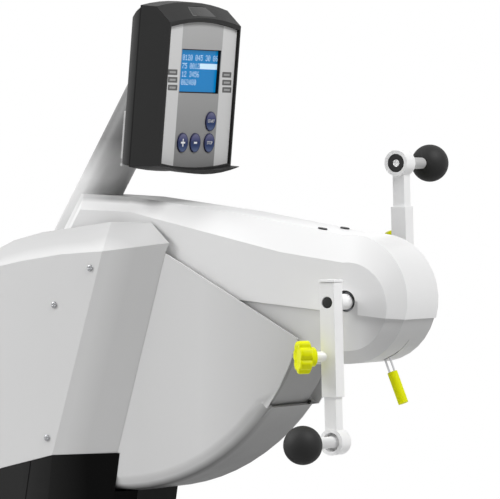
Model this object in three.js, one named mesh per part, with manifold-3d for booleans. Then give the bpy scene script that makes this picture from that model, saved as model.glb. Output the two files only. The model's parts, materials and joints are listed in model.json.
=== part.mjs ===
// Arm ergometer: two hand cranks on a head that tilts in a drum, with a console on a mast, a column
// and a floor frame.
// Millimetres, +Z up, +X towards the person who turns the cranks, +Y to that person's right.
// The origin is on the floor, in the middle of the machine's length and width.
import * as THREE from "three";
import { mergeVertices } from "three/addons/utils/BufferGeometryUtils.js";
import Module from "manifold-3d";

const wasm = await Module();
wasm.setup();
const degree = Math.PI / 180;

// Main layout
const axle_height = 1050;
const axle_forward = 350;
const reach = 422;
const droop = 6.1 * degree;
const running_gap = 0.3;
const overrun = 20;

// Floor frame
const base_length = 1000;
const beam_width = 80;
const beam_height = 60;
const beam_lift = 12;
const foot_span = 520;
const foot_depth = 60;
const tube_gauge = 4;
const cap_length = 40;
const cap_wall = 4;
const wheel_diameter = 60;
const wheel_width = 24;
const wheel_lift = 1;
const wheel_pin = 5;
const ear_thickness = 5;
const wheel_inset = 110;

// Column and pivot
const plate_thickness = 8;
const plate_length = 250;
const plate_width = 236;
const post_foot_back = 195;
const post_top_back = 115;
const post_length = 100;
const post_width = 80;
const yoke_height = 20;
const cheek_thickness = 8;
const cheek_radius = 40;
const cheek_gap = 2;
const cheek_turn = 15 * degree;
const yoke_gap = 4;
const shaft_radius = 14;
const shaft_head_radius = 20;
const shaft_head_height = 6;

// Drum and column covers
const drum_radius = 355;
const drum_half_width = 82;
const drum_wall = 4;
const drum_panel = 3;
const drum_round = 26;
const wall_start = 37 * degree;
const panel_start = 16.9 * degree;
const column_half_width = 115;
const cover_wall = 3;
const cover_lip = 76;
const cover_lip_corner = 81.5;
const cover_lip_shoulder = 84;
const stop_radius = 5;
const stop_height = 6;
const stop_side = 64;
const screw_head = 5.5;
const screw_stem = 2.5;
const screw_rise = 2.5;
const screw_length = 14;
const groove_width = 2;
const groove_depth = 1.5;
const shroud_groove_share = -0.243;
const shroud_lean = 9.7 * degree;

// Head
const head_half_width = 73;
const head_flat = 50;
const head_wall = 3;
const nose_radius = 102;
const nose_back = 4;
const nose_up = 2;
const nose_turn = 7 * degree;
const side_radius = 70;
const side_forward = 4;
const side_down = 9;
const seam_slope = 5.33 * degree;
const seam_drop = 18.5;
const shell_step = 2.5;
const axle_hole = 16;
const seam_tab = 22;
const lower_shell_length = 230;
const tail_side = -24;
const tail_back = 14;
const tail_flat = 28;
const slit_radius = 100;
const slit_start = 55 * degree;
const slit_end = 39 * degree;
const slit_half = 2.2;
const apron_half_width = 75;
const apron_gap = 3.5;
const apron_wall = 3;
const apron_end = 62 * degree;
const apron_top = 6 * degree;
const cap_radius = 7.5;
const cap_stem = 5;
const cap_rise = 2;
const cap_forward = -62;
const cap_side = 35;

// Head frame and drive
const side_plate = 5;
const side_plate_inner = 56;
const hub_radius = 24;
const nose_plate_radius = 34;
const nose_plate_start = -100 * degree;
const nose_plate_end = 75 * degree;
const bearing_radius = 22;
const bearing_length = 8;
const seat_side = -16;
const seat_back = 8;
const seat_thickness = 24;
const axle_radius = 8.5;
const flywheel_radius = 92;
const flywheel_half = 12;
const flywheel_hub = 19;
const small_pulley = 24;
const large_pulley = 78;
const small_pulley_end = 40;
const pulley_width = 20;
const belt_width = 18;
const belt_thickness = 3;
const pulley_web = 6;
const brake_half = 15;
const brake_bar = 18;
const brake_jaw = 16;
const brake_gap = 3;
const brake_lap = 24;

// Mast and console
const mast_radius = 37;
const mast_lean = 31 * degree;
const mast_foot = 90;
const mast_back = 502;
const mast_up = 168;
const mast_wall = 3;
const console_lean = 5 * degree;
const console_back = 316.8;
const console_up = 210.3;
const console_width = 215.5;
const console_height = 227;
const front_depth = 58;
const back_depth = 20;
const back_inset = 10;
const brow_depth = 28;
const brow_height = 23.7;
const underside_drop = 6.4;
const arch_rise = 10;
const arch_sag = 7;
const rim = 4;
const brow_rim = 6.4;
const face_recess = 4.5;
const face_thickness = 2;
const screen_recess = 5;
const screen_width = 119;
const screen_height = 70;
const screen_bottom = 116.5;
const button_radius = 15.5;
const button_rise = 2;
const button_stem = 9;
const window_low = 4.5;
const window_high = 26.5;
const window_wide = 71;
const window_narrow = 54;
const window_depth = 3;
const window_sunk = 0.5;
const lip_length = 16;
const lip_root = 20;
const lip_thickness = 5;
const bracket_thickness = 4;
const bracket_foot = -7;
const bracket_height = 88;
const bracket_width = 190;
const bracket_notch = 4;

// Cranks
const crank_length = 215;
const crank_side = 116;
const sleeve_size = 26;
const sleeve_wall = 2.4;
const sleeve_above = 31;
const sleeve_below = 146;
const sleeve_cap_height = 4;
const sleeve_cap_lap = 1.2;
const collar_radius = 12.3;
const collar_inner_end = 68;
const plug_hole = 9;
const crank_phase = 1.5 * degree;
const tube_size = 20.4;
const tube_wall = 2;
const tube_start = 60;
const handle_hub_radius = 20.5;
const handle_hub_length = 28;
const handle_hub_bore = 14.7;
const handle_hub_proud = 0.5;
const hub_cap_depth = 8;
const bearing_depth = 6;
const spindle_radius = 9;
const spindle_end_radius = 5.5;
const spindle_end_recess = 1;
const ball_radius = 30;
const ball_side = 212;
const knob_drop = 83;
const knob_turn = 45 * degree;
const knob_radius = 26;
const knob_thickness = 19;
const knob_edge = 3;
const knob_edge_share = 0.88;
const knob_dish_radius = 15;
const knob_dish_depth = 3;
const knob_neck_radius = 15;
const knob_neck_length = 11;
const knob_neck_edge = 3;
const knob_lobes = 7;
const knob_lobe_share = 0.09;
const boss_radius = 8;
const boss_length = 7.5;
const knob_pin = 4;

// Release lever
const lever_forward = 28;
const lever_drop = 74;
const lever_lean = 22.5 * degree;
const lever_wire = 1.6;
const lever_spacing = 9;
const lever_length = 92;
const grip_radius = 8;
const grip_length = 52;
const lever_pin = 3;
const lever_pin_half = 15;
const lever_boss = 6;
const lever_slot = 26;
const lever_slot_half = 3.5;

// Gas spring
const spring_reach = 170;
const spring_reach_angle = 50 * degree;
const spring_foot_back = 40;
const spring_foot_drop = 250;
const spring_radius = 15;
const spring_body_end = 144;
const spring_eye_radius = 12;
const spring_eye_half = 16;
const rod_radius = 5;
const rod_start = 60;
const rod_eye_radius = 14.5;
const rod_eye_bore = 10.5;
const rod_eye_half = 12;
const link_pin = 4;

// Vectors in the drawing planes
const v2 = (x, y) => new THREE.Vector2(x, y);
const v3 = (x, y, z) => new THREE.Vector3(x, y, z);

// Finishes
const white_paint = { color: 0xe9e9e7, roughness: 0.45, metalness: 0.0 };
const grey_shell = { color: 0xd3d3d2, roughness: 0.5, metalness: 0.0 };
const dark_grey = { color: 0x86878a, roughness: 0.6, metalness: 0.0 };
const black_plastic = { color: 0x242528, roughness: 0.6, metalness: 0.0 };
const anthracite = { color: 0x3a3b3e, roughness: 0.5, metalness: 0.0 };
const rubber = { color: 0x18181a, roughness: 0.85, metalness: 0.0 };
const steel = { color: 0xb4b6ba, roughness: 0.3, metalness: 1.0 };
const cast = { color: 0x55575b, roughness: 0.6, metalness: 0.7 };
const yellow = { color: 0xe2ea00, roughness: 0.4, metalness: 0.0 };
const yellow_green = { color: 0xc9d300, roughness: 0.5, metalness: 0.0 };
const silver_panel = { color: 0xc4c6c9, roughness: 0.4, metalness: 0.2 };
const screen_blue = { color: 0x2f8fd0, roughness: 0.15, metalness: 0.0 };
const violet_gloss = { color: 0x41508e, roughness: 0.2, metalness: 0.0 };
const smoked = { color: 0x1c1d22, roughness: 0.1, metalness: 0.0 };

// Turns a closed geometry into a solid that can be joined and cut.
function solidOf(geometry) {
  const bare = geometry.index ? geometry.toNonIndexed() : geometry.clone();
  bare.deleteAttribute("normal");
  bare.deleteAttribute("uv");
  const merged = mergeVertices(bare);
  const corners = merged.index.array;
  const triVerts = [];
  for (let i = 0; i < corners.length; i += 3) {
    const [a, b, c] = [corners[i], corners[i + 1], corners[i + 2]];
    if (a !== b && b !== c && c !== a) triVerts.push(a, b, c);
  }
  const surface = new wasm.Mesh({
    numProp: 3,
    vertProperties: merged.attributes.position.array,
    triVerts: new Uint32Array(triVerts),
  });
  return new wasm.Manifold(surface);
}

// Turns a solid back into a geometry.
function geometryOf(solid) {
  const surface = solid.getMesh();
  const geometry = new THREE.BufferGeometry();
  geometry.setAttribute("position", new THREE.BufferAttribute(surface.vertProperties, 3));
  geometry.setIndex(new THREE.BufferAttribute(surface.triVerts, 1));
  geometry.computeVertexNormals();
  return geometry;
}

const join = (...pieces) => geometryOf(pieces.map(solidOf).reduce((a, b) => a.add(b)));
const cut = (piece, ...tools) =>
  geometryOf(tools.map(solidOf).reduce((a, b) => a.subtract(b), solidOf(piece)));
const meet = (a, b) => geometryOf(solidOf(a).intersect(solidOf(b)));

// A box between two corners.
function block(x0, x1, y0, y1, z0, z1) {
  const box = new THREE.BoxGeometry(x1 - x0, y1 - y0, z1 - z0);
  return box.translate((x0 + x1) / 2, (y0 + y1) / 2, (z0 + z1) / 2);
}

// An outline in X and Z, drawn out along Y from y0 to y1.
function slab(points, y0, y1) {
  const shape = new THREE.Shape(points);
  const body = new THREE.ExtrudeGeometry(shape, { depth: y1 - y0, bevelEnabled: false });
  return body.rotateX(Math.PI / 2).translate(0, y1, 0);
}

// A round bar between two points.
function bar(from, to, radius, sides = 24) {
  const along = to.clone().sub(from);
  const body = new THREE.CylinderGeometry(radius, radius, along.length(), sides);
  body.applyQuaternion(new THREE.Quaternion().setFromUnitVectors(v3(0, 1, 0), along.clone().normalize()));
  return body.translate(...from.clone().add(to).multiplyScalar(1 / 2).toArray());
}

// A round bar along Y.
const pin = (x, z, y0, y1, radius, sides = 24) => bar(v3(x, y0, z), v3(x, y1, z), radius, sides);

// A closed skin over rings with equal numbers of points. The end caps are filled in the plane that
// flat() gives.
function skin(rings, flat) {
  const count = rings[0].length;
  const positions = rings.flat().flatMap((p) => p.toArray());
  const faces = [];
  for (let r = 0; r + 1 < rings.length; r++) {
    for (let i = 0; i < count; i++) {
      const j = (i + 1) % count;
      const [a, b] = [r * count + i, r * count + j];
      faces.push([a, b, b + count], [a, b + count, a + count]);
    }
  }
  const capOf = (ring) => THREE.ShapeUtils.triangulateShape(ring.map(flat), []);
  const last = (rings.length - 1) * count;
  for (const [a, b, c] of capOf(rings[0])) faces.push([a, c, b]);
  for (const [a, b, c] of capOf(rings[rings.length - 1])) faces.push([last + a, last + b, last + c]);
  const corner = (i) => v3(...positions.slice(3 * i, 3 * i + 3));
  const volume = faces.reduce((sum, [a, b, c]) => sum + corner(a).dot(corner(b).cross(corner(c))), 0);
  const facing = volume > 0 ? faces : faces.map(([a, b, c]) => [a, c, b]);
  const geometry = new THREE.BufferGeometry();
  geometry.setAttribute("position", new THREE.Float32BufferAttribute(positions, 3));
  geometry.setIndex(facing.flat());
  return geometry;
}

const inXZ = (p) => v2(p.x, p.z);
const inYZ = (p) => v2(p.y, p.z);
const inXY = (p) => v2(p.x, p.y);

// Points of an arc about a centre, both ends included.
function arc(centre, radius, from, to, steps) {
  return Array.from({ length: steps + 1 }, (_, i) => {
    const angle = from + ((to - from) * i) / steps;
    return v2(centre.x + radius * Math.cos(angle), centre.y + radius * Math.sin(angle));
  });
}

// The same counterclockwise outline, moved inwards by a distance.
function inset(points, distance) {
  const count = points.length;
  return points.map((p, i) => {
    const into = p.clone().sub(points[(i + count - 1) % count]).normalize();
    const away = points[(i + 1) % count].clone().sub(p).normalize();
    const first = v2(-into.y, into.x);
    const second = v2(-away.y, away.x);
    const bisector = first.clone().add(second);
    return p.clone().add(bisector.multiplyScalar(distance / (1 + first.dot(second))));
  });
}

// A point at an angle and a distance.
const atAngle = (angle, distance) => v2(distance * Math.cos(angle), distance * Math.sin(angle));

const atShare = (shares, size) => shares.map(([x, y]) => v2(x * size, y * size));
const ringAtY = (points, y) => points.map((p) => v3(p.x, y, p.y));

const machine = new THREE.Group();
machine.name = "arm_ergometer";

// Adds one named piece to a group.
function add(group, name, geometry, look) {
  const mesh = new THREE.Mesh(geometry, new THREE.MeshStandardMaterial(look));
  mesh.name = name;
  group.add(mesh);
  return mesh;
}

// The head group's origin is the crank axle; the tower group's origin is the tilt pivot.
const pivot = v3(axle_forward - reach * Math.cos(droop), 0, axle_height + reach * Math.sin(droop));
const head = new THREE.Group();
head.position.set(axle_forward, 0, axle_height);
const tower = new THREE.Group();
tower.position.copy(pivot);
machine.add(head, tower);
const pivot_in_head = v2(pivot.x - axle_forward, pivot.z - axle_height);

// Floor frame: a beam between two cross tubes, whose caps stand on the floor.
const beam_top = beam_lift + beam_height;
const front_face = base_length / 2;
const foot_front_x = front_face - cap_wall;
const wheel_radius = wheel_diameter / 2;
const wheel_x = wheel_radius - base_length / 2;
const foot_rear_x = wheel_x + wheel_radius + wheel_lift + foot_depth + cap_wall;

const [tube_low, tube_high] = [beam_lift + tube_gauge, beam_top - tube_gauge];

function footTube(x1, ...fittings) {
  const half = foot_span / 2;
  const x0 = x1 - foot_depth;
  const tube = join(block(x0, x1, -half, half, beam_lift, beam_top), ...fittings);
  const end = half + overrun;
  return cut(tube, block(x0 + tube_gauge, x1 - tube_gauge, -end, end, tube_low, tube_high));
}

function footCap(x1, side) {
  const inner = foot_span / 2 - cap_length;
  const outer = foot_span / 2 + cap_wall;
  const [y0, y1] = side > 0 ? [inner, outer] : [-outer, -inner];
  const shell = block(x1 - foot_depth - cap_wall, x1 + cap_wall, y0, y1, 0, beam_top + cap_wall);
  const hollow = block(
    x1 - foot_depth - running_gap,
    x1 + running_gap,
    side > 0 ? y0 - overrun : -foot_span / 2 - running_gap,
    side > 0 ? foot_span / 2 + running_gap : y1 + overrun,
    beam_lift - running_gap,
    beam_top + running_gap,
  );
  return cut(shell, hollow);
}

function wheelEars(y) {
  const half = wheel_width / 2 + running_gap;
  const z = wheel_lift + wheel_radius;
  const back = foot_rear_x - foot_depth;
  const ear = (y0) => {
    const plate = block(wheel_x, back, y0, y0 + ear_thickness, z - 2 * wheel_pin, z + 2 * wheel_pin);
    return join(plate, pin(wheel_x, z, y0, y0 + ear_thickness, 2 * wheel_pin, 16));
  };
  const axle = pin(wheel_x, z, y - half - ear_thickness, y + half + ear_thickness, wheel_pin, 16);
  return join(ear(y - half - ear_thickness), ear(y + half), axle);
}

const wheel_y = foot_span / 2 - wheel_inset;
add(machine, "front_foot", footTube(foot_front_x), white_paint);
const ears = [wheelEars(-wheel_y), wheelEars(wheel_y)];
add(machine, "rear_foot", footTube(foot_rear_x, ...ears), white_paint);
const beam_from = foot_rear_x + running_gap;
const beam_to = foot_front_x - foot_depth - running_gap;
const beam_side = beam_width / 2;
const beam_wall = beam_side - tube_gauge;
const beam = cut(
  block(beam_from, beam_to, -beam_side, beam_side, beam_lift, beam_top),
  block(beam_from - overrun, beam_to + overrun, -beam_wall, beam_wall, tube_low, tube_high),
);
add(machine, "base_beam", beam, white_paint);
for (const [end, x1] of [["front", foot_front_x], ["rear", foot_rear_x]]) {
  add(machine, `foot_cap_${end}_left`, footCap(x1, -1), black_plastic);
  add(machine, `foot_cap_${end}_right`, footCap(x1, 1), black_plastic);
}
for (const [side, y] of [["left", -wheel_y], ["right", wheel_y]]) {
  const z = wheel_lift + wheel_radius;
  const tyre = pin(wheel_x, z, y - wheel_width / 2, y + wheel_width / 2, wheel_radius, 28);
  const bore = pin(wheel_x, z, y - wheel_width, y + wheel_width, wheel_pin + running_gap, 16);
  add(machine, `${side}_transport_wheel`, cut(tyre, bore), rubber);
}

// Side view of the drum, from the pivot: the panel's top edge, then the round front, the bottom and the back.
const drum_back_share = -0.634;
const drum_bottom = -drum_radius;
const drum_back = drum_back_share * drum_radius;
const panel_top_shares = [
  [0.287, 0.068],
  [0.225, 0.093],
  [0.127, 0.163],
  [-0.282, 0.127],
  [-0.634, 0.042],
];

function drumOutline(radius, roundedBy) {
  const upper = arc(v2(0, 0), radius, -wall_start, -panel_start, 3);
  const lower = arc(v2(0, 0), radius - roundedBy, -Math.PI / 2, -wall_start, 11);
  const top = atShare(panel_top_shares, drum_radius);
  return [v2(drum_back, drum_bottom + roundedBy), ...lower, ...upper, ...top];
}

function drumCover() {
  const steps = 3;
  const rings = [];
  for (let i = 0; i <= steps; i++) {
    const turn = (i / steps) * (Math.PI / 2);
    const drawn_in = drum_round * (1 - Math.sin(turn));
    const y = drum_half_width - drum_round * (1 - Math.cos(turn));
    rings.push([y, drawn_in]);
  }
  const outlineAt = ([y, drawn_in], side) => ringAtY(drumOutline(drum_radius, drawn_in), side * y);
  const near = rings.map((r) => outlineAt(r, -1));
  const far = rings.map((r) => outlineAt(r, 1)).reverse();
  const outer = skin([...near, ...far], inXZ);
  const wall_in = drum_radius - drum_wall;
  const open = drum_radius + overrun;
  const cavity_side = drum_half_width - drum_panel;
  const cavityOutline = (roundedBy) => [
    v2(drum_back + drum_wall, drum_bottom + drum_wall + roundedBy),
    ...arc(v2(0, 0), wall_in - roundedBy, -Math.PI / 2, -wall_start, 11),
    v2(open * Math.cos(wall_start), -open * Math.sin(wall_start)),
    v2(open, 0),
    v2(open, open),
    v2(drum_back + drum_wall, open),
  ];
  const inner_round = drum_round - drum_wall;
  const cavity = skin(
    [
      ringAtY(cavityOutline(inner_round), -cavity_side),
      ringAtY(cavityOutline(0), inner_round - cavity_side),
      ringAtY(cavityOutline(0), cavity_side - inner_round),
      ringAtY(cavityOutline(inner_round), cavity_side),
    ],
    inXZ,
  );
  const hole_end = drum_half_width + overrun;
  const shaft_hole = pin(0, 0, -hole_end, hole_end, shaft_radius + cover_wall);
  return cut(outer, cavity, shaft_hole, springSlot());
}

// The gas spring's two ends, from the pivot.
const spring_foot = v2(-spring_foot_back, -spring_foot_drop);
const spring_head = atAngle(-spring_reach_angle, spring_reach);
const ear_half = spring_eye_half + running_gap + ear_thickness;

function springSlot() {
  const half = cheek_radius - 2 * ear_thickness;
  const floor = drum_bottom;
  return block(
    spring_foot.x - half,
    spring_foot.x + half,
    -ear_half - ear_thickness,
    ear_half + ear_thickness,
    floor - overrun,
    floor + overrun,
  );
}

add(tower, "drum_cover", drumCover(), grey_shell);
const stop_at = atAngle(-wall_start, drum_radius - drum_wall / 2);
const stop_up = v2(Math.sin(wall_start), Math.cos(wall_start));
const stop_y = stop_side - drum_round / 2;
const stop_foot = stop_at.clone().addScaledVector(stop_up, running_gap);
const stop_top = stop_at.clone().addScaledVector(stop_up, stop_height);
const [stop_from, stop_to] = [stop_foot, stop_top].map((p) => v3(p.x, stop_y, p.y));
const stop_bar = bar(stop_from, stop_to, stop_radius / 2, 12);
add(tower, "drum_stop", stop_bar, rubber);

// Column: a foot plate, a leaning post, a yoke below the drum and two cheeks that hold the tilt shaft.
const plate_z = beam_top + running_gap - pivot.z;
const plate_top = plate_z + plate_thickness;
const yoke_top = -(drum_radius + yoke_gap);
const yoke_bottom = yoke_top - yoke_height;
const cheek_inner = drum_half_width + cheek_gap;
const cheek_outer = cheek_inner + cheek_thickness;

function columnPost() {
  const foot_x = -post_foot_back;
  const top_x = -post_top_back;
  const half = post_length / 2;
  const front = spring_foot.x + cheek_radius / 2;
  const plate = block(
    foot_x - plate_length / 2,
    foot_x + plate_length / 2,
    -plate_width / 2,
    plate_width / 2,
    plate_z,
    plate_top,
  );
  const post_side = [
    v2(foot_x - half, plate_z),
    v2(foot_x + half, plate_z),
    v2(top_x + half, yoke_top),
    v2(top_x - half, yoke_top),
  ];
  const post = slab(post_side, -post_width / 2, post_width / 2);
  const into_post = v2(top_x - foot_x, yoke_top - plate_z).setLength(overrun);
  const post_room = slab(
    [
      v2(foot_x - half + tube_gauge - into_post.x, plate_z - into_post.y),
      v2(foot_x + half - tube_gauge - into_post.x, plate_z - into_post.y),
      v2(top_x + half - tube_gauge - into_post.x, yoke_top - into_post.y),
      v2(top_x - half + tube_gauge - into_post.x, yoke_top - into_post.y),
    ],
    tube_gauge - post_width / 2,
    post_width / 2 - tube_gauge,
  );
  const yoke = block(top_x - half, top_x + half, -cheek_outer, cheek_outer, yoke_bottom, yoke_top);
  const shelf = block(top_x, front, -ear_half, ear_half, yoke_bottom, yoke_top);
  const cheek_side = [
    v2(top_x - half, yoke_bottom),
    v2(top_x + half, yoke_bottom),
    ...arc(v2(0, 0), cheek_radius, -cheek_turn, Math.PI + cheek_turn, 12),
  ];
  const ear_side = [
    v2(front - cheek_radius, yoke_bottom),
    v2(front, yoke_bottom),
    ...arc(spring_foot, cheek_radius / 2, 0, Math.PI, 8),
  ];
  const pairOf = (side, inner, outer) => [slab(side, inner, outer), slab(side, -outer, -inner)];
  const cheeks = pairOf(cheek_side, cheek_inner, cheek_outer);
  const ears = pairOf(ear_side, spring_eye_half + running_gap, ear_half);
  const spring_pin = pin(spring_foot.x, spring_foot.y, -ear_half, ear_half, link_pin);
  const frame = join(plate, post, yoke, shelf, ...cheeks, ...ears, spring_pin);
  const bore_end = cheek_outer + overrun;
  return cut(frame, post_room, pin(0, 0, -bore_end, bore_end, shaft_radius + running_gap));
}

function pivotShaft() {
  const end = cheek_outer + running_gap;
  const middle = end + shaft_head_height / 2;
  const shaft = pin(0, 0, -middle, middle, shaft_radius);
  const near = pin(0, 0, -end - shaft_head_height, -end, shaft_head_radius);
  const far = pin(0, 0, end, end + shaft_head_height, shaft_head_radius);
  return join(shaft, near, far);
}

add(tower, "column_post", columnPost(), steel);
add(tower, "pivot_shaft", pivotShaft(), steel);

// Column covers: a flat flank, a band that leans in to the drum's panel and a bevel over its top edge.
// Both outlines are shares of the drum's radius, from the pivot. Each lip corner belongs to one flank corner.
const flank_shares = [
  [-0.273, -0.839],
  [-0.003, 0.0835],
  [-0.228, 0.068],
  [-0.448, 0.034],
  [-0.558, 0.011],
  [-0.69, -0.034],
  [-0.789, -0.967],
];
const lip_shares = [
  [0.017, -0.825],
  [0.271, 0.075],
  [0.292, 0.123],
  [0.189, 0.211],
  [-0.01, 0.2155],
  [-0.254, 0.184],
  [-0.403, 0.1645],
  [-0.555, 0.127],
  [-0.7, 0.062],
  [-0.83, -0.977],
];
const shared_corners = lip_shares.length - flank_shares.length;
const flankOf = (i) => (i > 0 ? Math.max(1, i - shared_corners) : 0);
const screw_shares = { top: [-0.068, 0.008], middle: [-0.262, -0.161], bottom: [-0.301, -0.763] };
const panel_gap_y = drum_half_width + running_gap;
const lip_front = [panel_gap_y, panel_gap_y, cover_lip_corner, cover_lip, cover_lip_shoulder];
const lipY = (i) => lip_front[i] ?? cover_lip;
const flank = atShare(flank_shares, drum_radius);
const lip = atShare(lip_shares, drum_radius);
const drum_zone = slab(inset(drumOutline(drum_radius, 0), -running_gap), -panel_gap_y, panel_gap_y);
const seam_points = [flank[flank.length - 1], flank[0], lip[0]];
const seam_grade = (seam_points[1].y - seam_points[0].y) / (seam_points[1].x - seam_points[0].x);

// Side view of all that lies above the lower cover's top edge, or of all below it, from the pivot.
function besideSeam(limit, lowered) {
  const back = seam_points[0].clone().add(v2(-overrun, -overrun * seam_grade));
  const front = v2(drum_radius, seam_points[2].y);
  const edge = [back, ...seam_points, front].map((p) => v2(p.x, p.y - lowered));
  return slab([...edge, v2(front.x, limit), v2(back.x, limit)], -plate_width, plate_width);
}

const screwPlaces = Object.entries(screw_shares).map(([place, share]) => [
  place,
  ...atShare([share], drum_radius),
]);

// An open outline with both ends moved on along its first and last edges.
function runOn(points, distance) {
  const beyond = (end, before) => end.clone().add(end.clone().sub(before).setLength(distance));
  const last = points.length - 1;
  return [beyond(points[0], points[1]), ...points.slice(1, last), beyond(points[last], points[last - 1])];
}

function columnCover(side) {
  const ring = (points, yOf) => points.map((p, i) => v3(p.x, side * yOf(i), p.y));
  const spread = (points) => lip.map((_, i) => points[flankOf(i)]);
  const outer = skin([ring(spread(flank), () => column_half_width), ring(lip, lipY)], inXZ);
  const flank_in = spread(runOn(inset(flank, cover_wall), overrun));
  const lip_in = runOn(inset(lip, cover_wall), overrun);
  const hollow = skin(
    [
      ring(flank_in, () => column_half_width - cover_wall),
      ring(lip_in, lipY),
      ring(lip_in, () => cover_lip - overrun),
    ],
    inXZ,
  );
  const [from, to] = [side * (column_half_width - overrun), side * (column_half_width + overrun)];
  const holes = screwPlaces.map(([, p]) => pin(p.x, p.y, from, to, screw_stem + running_gap, 12));
  return cut(outer, hollow, drum_zone, besideSeam(-2 * drum_radius, 0), ...holes);
}

function coverScrew(p, side) {
  const face = side * (column_half_width + running_gap);
  const stem = pin(p.x, p.y, face - side * screw_length, face + (side * screw_rise) / 2, screw_stem, 12);
  return join(stem, pin(p.x, p.y, face, face + side * screw_rise, screw_head, 16));
}

for (const [name, side] of [["left", -1], ["right", 1]]) {
  add(tower, `${name}_column_cover`, columnCover(side), grey_shell);
  for (const [place, p] of screwPlaces) {
    add(tower, `${name}_cover_screw_${place}`, coverScrew(p, side), steel);
  }
}

// Lower cover: a leaning hollow shroud that stands on the foot plate and ends under the drum and the
// column covers.
const shroud_top_shares = [
  [-0.82, 0.324],
  [-0.273, 0.324],
  [0.03, 0.232],
  [0.115, 0.169],
];
const shroud_foot_shares = [
  [-0.873, 0.324],
  [-0.493, 0.324],
  [-0.283, 0.239],
  [-0.203, 0.175],
];

function lowerCover() {
  const planOf = (shares) => {
    const near = atShare(shares, drum_radius).map((p) => v2(p.x, -p.y));
    return [...near, ...near.map((p) => v2(p.x, -p.y)).reverse()];
  };
  const foot = planOf(shroud_foot_shares);
  const top = planOf(shroud_top_shares);
  const foot_z = plate_top + running_gap;
  const top_z = lip[0].y;
  const ringAtZ = (points, z) => points.map((p) => v3(p.x, p.y, z));
  const outer = skin([ringAtZ(foot, foot_z), ringAtZ(top, top_z)], inXY);
  const foot_in = inset(foot, drum_wall);
  const top_in = inset(top, drum_wall);
  const hollow = skin(
    [
      ringAtZ(foot_in, foot_z - overrun),
      ringAtZ(foot_in, foot_z),
      ringAtZ(top_in, top_z),
      ringAtZ(top_in, top_z + overrun),
    ],
    inXY,
  );
  const groove_top = v2(shroud_groove_share * drum_radius, 0);
  const groove_foot = v2(groove_top.x + foot_z * Math.tan(shroud_lean), foot_z);
  const groove_side = [
    groove_foot,
    v2(groove_foot.x + groove_width, groove_foot.y),
    v2(groove_top.x + groove_width, groove_top.y),
    groove_top,
  ];
  const half = shroud_top_shares[0][1] * drum_radius;
  const grooves = [
    slab(groove_side, half - groove_depth, half + overrun),
    slab(groove_side, -half - overrun, groove_depth - half),
  ];
  return cut(outer, hollow, besideSeam(0, running_gap), drum_zone, ...grooves);
}

add(tower, "lower_cover", lowerCover(), black_plastic);

// Mast axis and the two directions that go with it, from the crank axle.
const mast_along = v3(Math.sin(mast_lean), 0, Math.cos(mast_lean));
const mast_behind = v3(-Math.cos(mast_lean), 0, Math.sin(mast_lean));
const mast_origin = v3(-mast_back, 0, mast_up);
const onMast = (s, u, y) =>
  mast_origin.clone().addScaledVector(mast_along, s).addScaledVector(mast_behind, u).setY(y);

// Side views of the head from the crank axle, as shares of the reach: the top from the nose to the tail.
const flat_top_shares = [
  [-0.223, 0.277],
  [-0.526, 0.327],
  [-0.967, 0.3815],
  [-1.197, 0.393],
  [-1.5, 0.393],
];
const side_top_shares = [
  [-0.277, 0.18],
  [-0.569, 0.244],
  [-0.936, 0.325],
  [-1.185, 0.334],
  [-1.5, 0.334],
];
const flat_foot_shares = [
  [-1.5, -0.254],
  [-0.545, -0.254],
];
const side_foot_shares = [
  [-1.5, -0.192],
  [-0.545, -0.192],
];

// The head as one solid: flat on top and under the nose, with a chamfer to each side. A drawn size gives
// a smaller copy.
function headBody(drawn) {
  const outlineOf = (foot_shares, centre, radius, top_shares) => {
    const nose = arc(centre, radius, -Math.PI / 2, Math.PI / 2 + nose_turn, 18);
    return inset([...atShare(foot_shares, reach), ...nose, ...atShare(top_shares, reach)], drawn);
  };
  const flat = outlineOf(flat_foot_shares, v2(-nose_back, nose_up), nose_radius, flat_top_shares);
  const side = outlineOf(side_foot_shares, v2(side_forward, -side_down), side_radius, side_top_shares);
  const side_y = head_half_width - drawn;
  const flat_y = head_flat - drawn / 2;
  return skin(
    [ringAtY(side, -side_y), ringAtY(flat, -flat_y), ringAtY(flat, flat_y), ringAtY(side, side_y)],
    inXZ,
  );
}

// The part of a ring's end cap that lies across the mast, as a flat drawing.
const acrossMast = (p) => v2(p.clone().sub(mast_origin).dot(mast_behind), p.y);

// Everything in front of the head's tail, which narrows towards the mast and leans with it.
function tailLimit(drawn) {
  const wide = head_half_width + overrun;
  const far = -2 * reach;
  const plan = [
    v2(far, -wide),
    v2(tail_side, -wide),
    v2(tail_side, -head_half_width),
    v2(tail_back, -tail_flat),
    v2(tail_back, tail_flat),
    v2(tail_side, head_half_width),
    v2(tail_side, wide),
    v2(far, wide),
  ];
  const ringOf = (s) => inset(plan, drawn).map((p) => onMast(s, p.x, p.y));
  return skin([ringOf(-2 * reach), ringOf(reach)], acrossMast);
}

// Side view of everything below the seam; a tab rises to the axle between the shells.
function belowSeam(raised, back) {
  const seam = (x) => v2(x, -seam_drop - x * Math.tan(seam_slope) + raised);
  const front = nose_radius + overrun;
  const tab = seam_tab + raised;
  const tab_top = [seam(tab), v2(tab, raised), v2(-tab, raised), seam(-tab)];
  return [v2(back, -reach), v2(front, -reach), seam(front), ...tab_top, seam(back)];
}

const wide = head_half_width + overrun;
const axleHole = () => pin(0, 0, -wide, wide, axle_hole, 28);
const topAt = (x) => {
  const a = atAngle(Math.PI / 2 + nose_turn, nose_radius).add(v2(-nose_back, nose_up));
  const [b] = atShare(flat_top_shares, reach);
  const rise = (b.y - a.y) / (b.x - a.x);
  return { point: v2(x, a.y + (x - a.x) * rise), up: v3(-rise, 0, 1).normalize() };
};
const capPlace = (side) => {
  const { point, up } = topAt(cap_forward);
  return { foot: v3(point.x, side * cap_side, point.y), up };
};

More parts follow.
